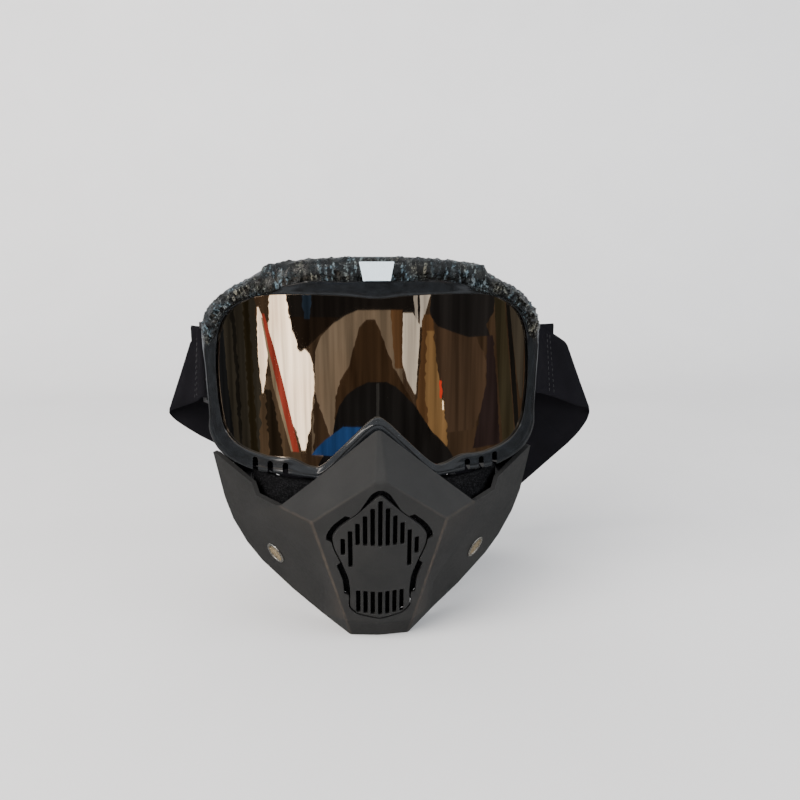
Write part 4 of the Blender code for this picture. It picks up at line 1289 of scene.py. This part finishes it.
def gauze(centre, axis):
    """Plain-woven wire cloth across the eyelet's bore."""
    turn = turning(axis)
    radius, pitch, wire, sunk = 4.8, 0.68, 0.15, 0.25
    parts = []
    for direction in (0, 1):
        for k in range(-7, 8):
            offset = k * pitch
            half = math.sqrt(radius ** 2 - offset ** 2)
            count = max(6, int(2 * half / (pitch / 3)))
            points = []
            for i in range(count + 1):
                t = -half + 2 * half * i / count
                up = wire * math.cos(math.pi * t / pitch) * (1 if (k + direction) % 2 else -1)
                flat = (t, offset) if direction else (offset, t)
                points.append(centre + turn @ Vector((*flat, up - sunk)))
            parts.append(tube(points, wire, 5))
    return joined(parts)


# Seal between the cheek and the goggles: x, front face, lower edge
SEAL_PATH = ((29.6, -0.8, 73), (40, 3.5, 68.5), (50, 9.2, 66), (58, 18.2, 66.5),
             (65.5, 27.2, 68.5))
SEAL_TOP, SEAL_THICK = 83.1, 4.0


def cheek_seal(name, side):
    """Foam strip inside the mask's upper edge, which fills the gap to the frame."""
    rings = []
    for x, front, low in smooth(SEAL_PATH, 6):
        top = SEAL_TOP + 0.5 * ease(36, 48, x)
        thick = SEAL_THICK * (2.0 - ease(34, 44, x))
        middle = (low + top) / 2
        rings.append([mirrored((x, front + thick / 2 + a, middle + b), side)
                      for a, b in rounded(thick / 2, (top - low) / 2, 0.6, 3)])
    foam = raw(f"cheek_foam_{name}", pit(skin(rings), 0.14, 0.9, 0.08))
    dress(foam, "foam", "face_mask", f"cheek_seal_{name}", 60)


def mask_stud(name):
    """The stud block keeps its own shape, with rounded edges."""
    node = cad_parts[f"mask_stud_{name}"]
    round_edges(node, 0.4, 2, 40)
    paint(node, "matte_black")


def face_mask():
    mask_shell()
    vent_insert()
    filter_parts()
    for name, side in SIDES:
        eyelet(name, side)
        cheek_seal(name, side)
        mask_stud(name)


# ---------------------------------------------------------------- studio

def plain(name, colour):
    """Matt paint, a little cloudy."""
    t = Tree(name, Roughness=0.9)
    low = tuple(c * 0.97 for c in colour)
    t.set(Base_Color=t.ramp(t.noise(t.place((9, 9, 9)), 1.0, 4.0), (0.3, low), (0.7, colour)))
    return t.material


def glow(name, colour):
    """Shining card, with faint upright streaks."""
    t = Tree(name)
    streak = t.noise(t.place((16, 16, 2.2)), 1.0, 4.0, 0.5)
    dim, bright = (tuple(c * share for c in colour) for share in (0.6, 1.3))
    light = t.add("Emission", Color=t.ramp(streak, (0.35, dim), (0.7, bright)))
    t.put(t.nodes["Material Output"].inputs["Surface"], light)
    t.nodes.remove(t.shader)
    return t.material


def gloss_only(name, bm, colour):
    """Shining piece of the studio that only the gloss of the object sees."""
    obj = linked(name, as_mesh(name, bm))
    obj.data.materials.append(glow(name, colour))
    for ray in ("camera", "diffuse", "transmission", "volume_scatter", "shadow"):
        setattr(obj, f"visible_{ray}", False)
    return obj


def backdrop():
    """Pale floor that sweeps up into a wall well behind the object."""
    wide, front, bend, radius, top = 9.0, -9.0, 0.62, 0.45, 5.0
    profile = [(front, 0.0), (-1.0, 0.0), (0.0, 0.0)]
    profile += [(bend + radius * math.sin(a), radius - radius * math.cos(a))
                for a in (math.pi / 2 * k / 14 for k in range(15))]
    profile.append((bend + radius, top))
    bm = bmesh.new()
    rows = [[bm.verts.new((x, y, z)) for x in (-wide, wide)] for y, z in profile]
    for low, high in zip(rows, rows[1:]):
        bm.faces.new((low[0], low[1], high[1], high[0]))
    floor = linked("floor", as_mesh("floor", bm))
    floor.data.shade_smooth()
    floor.data.materials.append(plain("floor_paint", (0.86, 0.853, 0.853)))
    floor.visible_glossy = False
    bm = bmesh.new()
    bmesh.ops.create_circle(bm, cap_ends=True, segments=64, radius=0.5)
    shine = gloss_only("floor_shine", bm, (0.2, 0.197, 0.193))
    shine.location = (0, 0.36, 0.0008)


# Cards that only the gloss sees: a room for the lens to mirror. Each is drawn where the lens
# shows it: rows of (z, left x, right x) on the lens, colour, and how ragged its sides are.
CARDS = (
    ("surround", ((205, -100, 100), (40, -100, 100)), (0.058, 0.04, 0.027), 0),
    ("far_left", ((180, -90, -60), (90, -90, -55)), (0.034, 0.033, 0.028), 0.8),
    ("left_streak", ((172, -73, -70.5), (95, -71, -69.5)), (0.012, 0.012, 0.011), 0.8),
    ("left_olive", ((178, -66, -63), (92, -65, -61)), (0.02, 0.017, 0.01), 1),
    ("left_edge", ((168, -90, -78), (135, -90, -77), (96, -90, -74)), (0.012, 0.014, 0.017), 0.4),
    ("door", ((135, -58, -44), (92, -60, -38)), (0.085, 0.062, 0.042), 1.2),
    ("door_dark", ((128, -56, -53), (92, -55, -47)), (0.022, 0.017, 0.012), 1.2),
    ("pillar", ((169, -58.4, -57.6), (160, -58.6, -54.6), (146, -59, -53.5), (126, -57.6, -56.8)),
     (2.3, 1.95, 1.6), 0.5),
    ("window", ((176, -51.5, -44), (165, -52.5, -42), (158, -53, -40.5), (152, -52.5, -38),
                (147, -51.5, -32.5), (134, -48.5, -30.2), (124, -46, -32), (112, -42, -33),
                (98, -38, -36)), (2.7, 2.35, 1.95), 0.7),
    ("rail_shade", ((164, -56.5, -54.6), (130, -51.5, -48.4), (97, -43.5, -41)),
     (0.3, 0.25, 0.18), 0.1),
    ("rail", ((166, -56.2, -54.8), (148, -53.1, -50), (128, -49, -45.5), (97, -42.5, -39.2)),
     (0.37, 0.062, 0.045), 0.1),
    ("cornice", ((185, -60, 24), (176, -44, 24), (168, -42, 22), (163, -41, 20)),
     (0.013, 0.012, 0.012), 0.6),
    ("cornice_left", ((165, -42, -18), (160, -41, -24), (155, -39.5, -29), (148, -38, -36)),
     (0.018, 0.013, 0.01), 1.2),
    ("cornice_blue", ((178, -36, -31), (164, -35, -32)), (0.02, 0.034, 0.06), 0.8),
    ("wall_left", ((168.5, -9, 8), (166, -15, 10), (162, -21, 11), (156, -27, 12),
                   (148, -30, 12.5), (134, -30.5, 12.5), (118, -32, 12), (96, -33, 12)),
     (0.18, 0.146, 0.112), 0.3),
    ("beam", ((128, -31, -30), (108, -31.5, -25), (96, -32, -20)), (0.045, 0.03, 0.02), 1),
    ("archway", ((164, -5, -1), (160, -8.5, 1), (150, -11.5, 4.5), (142, -13.5, 7.5),
                 (134, -18, 11.5), (126, -20.5, 16), (112, -21, 24), (100, -20, 30)),
     (0.048, 0.03, 0.018), 0.5),
    ("post", ((168.5, 6.5, 12.4), (150, 8, 12.4), (140, 9, 12.6)), (0.118, 0.066, 0.034), 0.4),
    ("pane_left", ((178, 17.5, 19.6), (170, 18.2, 19.8), (160, 19.2, 20.2)),
     (0.55, 0.54, 0.52), 0.2),
    ("pane_right", ((178, 21, 27), (168, 21, 24), (160, 20.8, 22.6)), (0.55, 0.54, 0.52), 0.2),
    ("pane", ((167, 12.6, 17.5), (161, 12.6, 21), (150, 12.3, 20.6), (143, 12.3, 20),
              (134, 14.8, 19.6), (127, 18.4, 19.2)), (0.66, 0.64, 0.6), 0.25),
    ("shutter", ((166, 22.6, 27.5), (146, 21.4, 29), (128, 19.8, 31), (104, 19.4, 33)),
     (0.12, 0.068, 0.034), 0.6),
    ("brass", ((158, 24.5, 27.5), (140, 24, 30), (124, 24, 33), (110, 26, 35), (98, 31, 35.2)),
     (0.25, 0.16, 0.075), 0.9),
    ("lamp_red", ((133, 31, 32.6), (124, 31.4, 33.4)), (0.75, 0.06, 0.03), 0.3),
    ("lamp_white", ((126, 32.6, 33.2), (118, 32.8, 33.6)), (1.9, 1.6, 1.2), 0.1),
    ("curtain", ((164, 28, 46), (140, 30.5, 57), (120, 33.5, 56), (106, 35.5, 50)),
     (0.07, 0.048, 0.034), 0.8),
    ("beam_right", ((190, 26, 62), (166, 26, 60), (160, 30, 56), (154, 46, 58)),
     (0.018, 0.018, 0.02), 0.5),
    ("dusk", ((154, 56.5, 60), (130, 57, 63), (96, 50, 66)), (0.03, 0.022, 0.024), 0.6),
    ("slat_a", ((176, 60, 66), (150, 62, 69), (120, 65, 73), (96, 68, 76)),
     (0.044, 0.04, 0.026), 0.2),
    ("slat_gap", ((172, 67, 69), (140, 71, 74), (100, 76, 79)), (0.011, 0.011, 0.011), 0.2),
    ("slat_b", ((172, 69, 78), (150, 72.5, 80), (130, 76, 80.5), (118, 78.5, 80)),
     (0.052, 0.048, 0.04), 0.2),
    ("gable", ((133.5, -4.5, 4.5), (131, -10, 9), (127, -15, 13), (122, -18.5, 18),
               (116, -20.5, 22), (108, -22, 27), (98, -26, 36), (84, -34, 44)),
     (0.012, 0.012, 0.013), 0.3),
    ("gable_edge", ((133, -0.5, 1), (112, -0.6, 0.8)), (0.045, 0.048, 0.052), 0.1),
    ("tarpaulin", ((111, -17, -6.8), (108, -21, -9.5), (104, -26, -13), (100, -30, -17),
                   (96, -33, -22)), (0.018, 0.062, 0.22), 0.2),
)
CARD_REACH, CARD_STEP = 0.95, 0.008     # metres from the lens to the farthest card
ROW_PITCH, COLUMN_PITCH = 1.5, 8        # size of a card's facets as seen on the lens


def mirror_target(x, z, reach):
    """Point that the camera sees mirrored in the lens at (x, z), this far away."""
    eye = bpy.context.scene.camera.location
    at = Vector((x, lens_depth(min(abs(x), 110.0)) + LENS_FRONT, z)) * MM
    tilt = math.asin(max(-0.95, min(0.95, x / LENS_BEND)))
    normal = Vector((math.sin(tilt), -math.cos(tilt), 0))
    ray = (at - eye).normalized()
    return at + (ray - 2 * ray.dot(normal) * normal) * reach


def wander(z, seed, shift):
    """Sideways wandering of a card's edge at this height: broad, and fine on top of it."""
    return (noise.noise(Vector((z * 0.33, seed, shift)))
            + noise.noise(Vector((z * 0.9, seed, shift + 5))))


def card_rows(rows, ragged, seed):
    """Rows at every millimetre or so of height, with wandering ends."""
    fine = []
    for upper, lower in zip(rows, rows[1:]):
        steps = max(1, int(abs(upper[0] - lower[0]) / ROW_PITCH))
        fine += [[p + (q - p) * k / steps for p, q in zip(upper, lower)] for k in range(steps)]
    return [(z, a + ragged * wander(z, seed, 0), b + ragged * wander(z, seed, 9))
            for z, a, b in fine + [rows[-1]]]


def cards():
    for k, (name, rows, colour, ragged) in enumerate(CARDS):
        reach = CARD_REACH - CARD_STEP * k
        columns = max(2, int(abs(rows[0][2] - rows[0][1]) / COLUMN_PITCH) + 2)
        bm = bmesh.new()
        grid = [[bm.verts.new(mirror_target(a + (b - a) * i / columns, z, reach))
                 for i in range(columns + 1)] for z, a, b in card_rows(rows, ragged, 3.7 * k)]
        for upper, lower in zip(grid, grid[1:]):
            for i in range(columns):
                bm.faces.new((upper[i], upper[i + 1], lower[i + 1], lower[i]))
        gloss_only(f"card_{name}", bm, colour)


def aim(obj, place):
    """Put a light here, turned towards the goggles."""
    obj.location = place
    obj.rotation_euler = (AIM - Vector(place)).to_track_quat("-Z", "Y").to_euler()


def lamp(name, place, size, power, colour):
    obj = linked(name, adjust(bpy.data.lights.new(name, "AREA"), shape="DISK", size=size,
                              energy=power, color=colour))
    aim(obj, place)
    obj.visible_glossy = False


def softbox(name, place, size, colour):
    """Narrow shining strip, which draws thin bright lines along the gloss's crests."""
    bm = bmesh.new()
    bm.faces.new([bm.verts.new((a * size[0] / 2, b * size[1] / 2, 0))
                  for a, b in ((-1, -1), (1, -1), (1, 1), (-1, 1))])
    aim(gloss_only(name, bm, colour), place)


AIM = Vector((0, 0, 0.1))               # what the lights point at


def studio():
    backdrop()
    world = bpy.data.worlds.new("studio")
    world.use_nodes = True
    background = world.node_tree.nodes["Background"]
    background.inputs["Color"].default_value = (0.93, 0.96, 1.0, 1.0)
    background.inputs["Strength"].default_value = 0.62
    bpy.context.scene.world = world
    softbox("strip_left", (-1.3, -0.9, 0.9), (0.16, 1.6), (9.0, 8.4, 7.8))
    softbox("strip_above", (0.1, -1.2, 1.9), (1.8, 0.14), (6.0, 6.0, 6.0))
    lamp("key", (-1.15, -0.85, 0.9), 1.4, 60, (1.0, 0.96, 0.92))
    lamp("fill", (1.35, -0.6, 0.35), 1.2, 34, (0.92, 0.96, 1.0))
    cards()


def camera():
    """In front of the goggles, a little above and to their right."""
    obj = linked("camera", adjust(bpy.data.cameras.new("camera"), lens=31.5,
                                  sensor_width=36.0, clip_start=0.01))
    obj.location = (-0.0146, -0.3347, 0.196)
    obj.rotation_euler = (math.radians(78), 0, math.radians(-4.38))
    bpy.context.scene.camera = obj


camera()
goggles()
for name, side in SIDES:
    outrigger(name, side)
    hinge_pin(name, side)
    side_strap(name, side)
    slider(name)
strap_back()
silicone_grips()
face_mask()
studio()

bpy.context.view_layer.update()
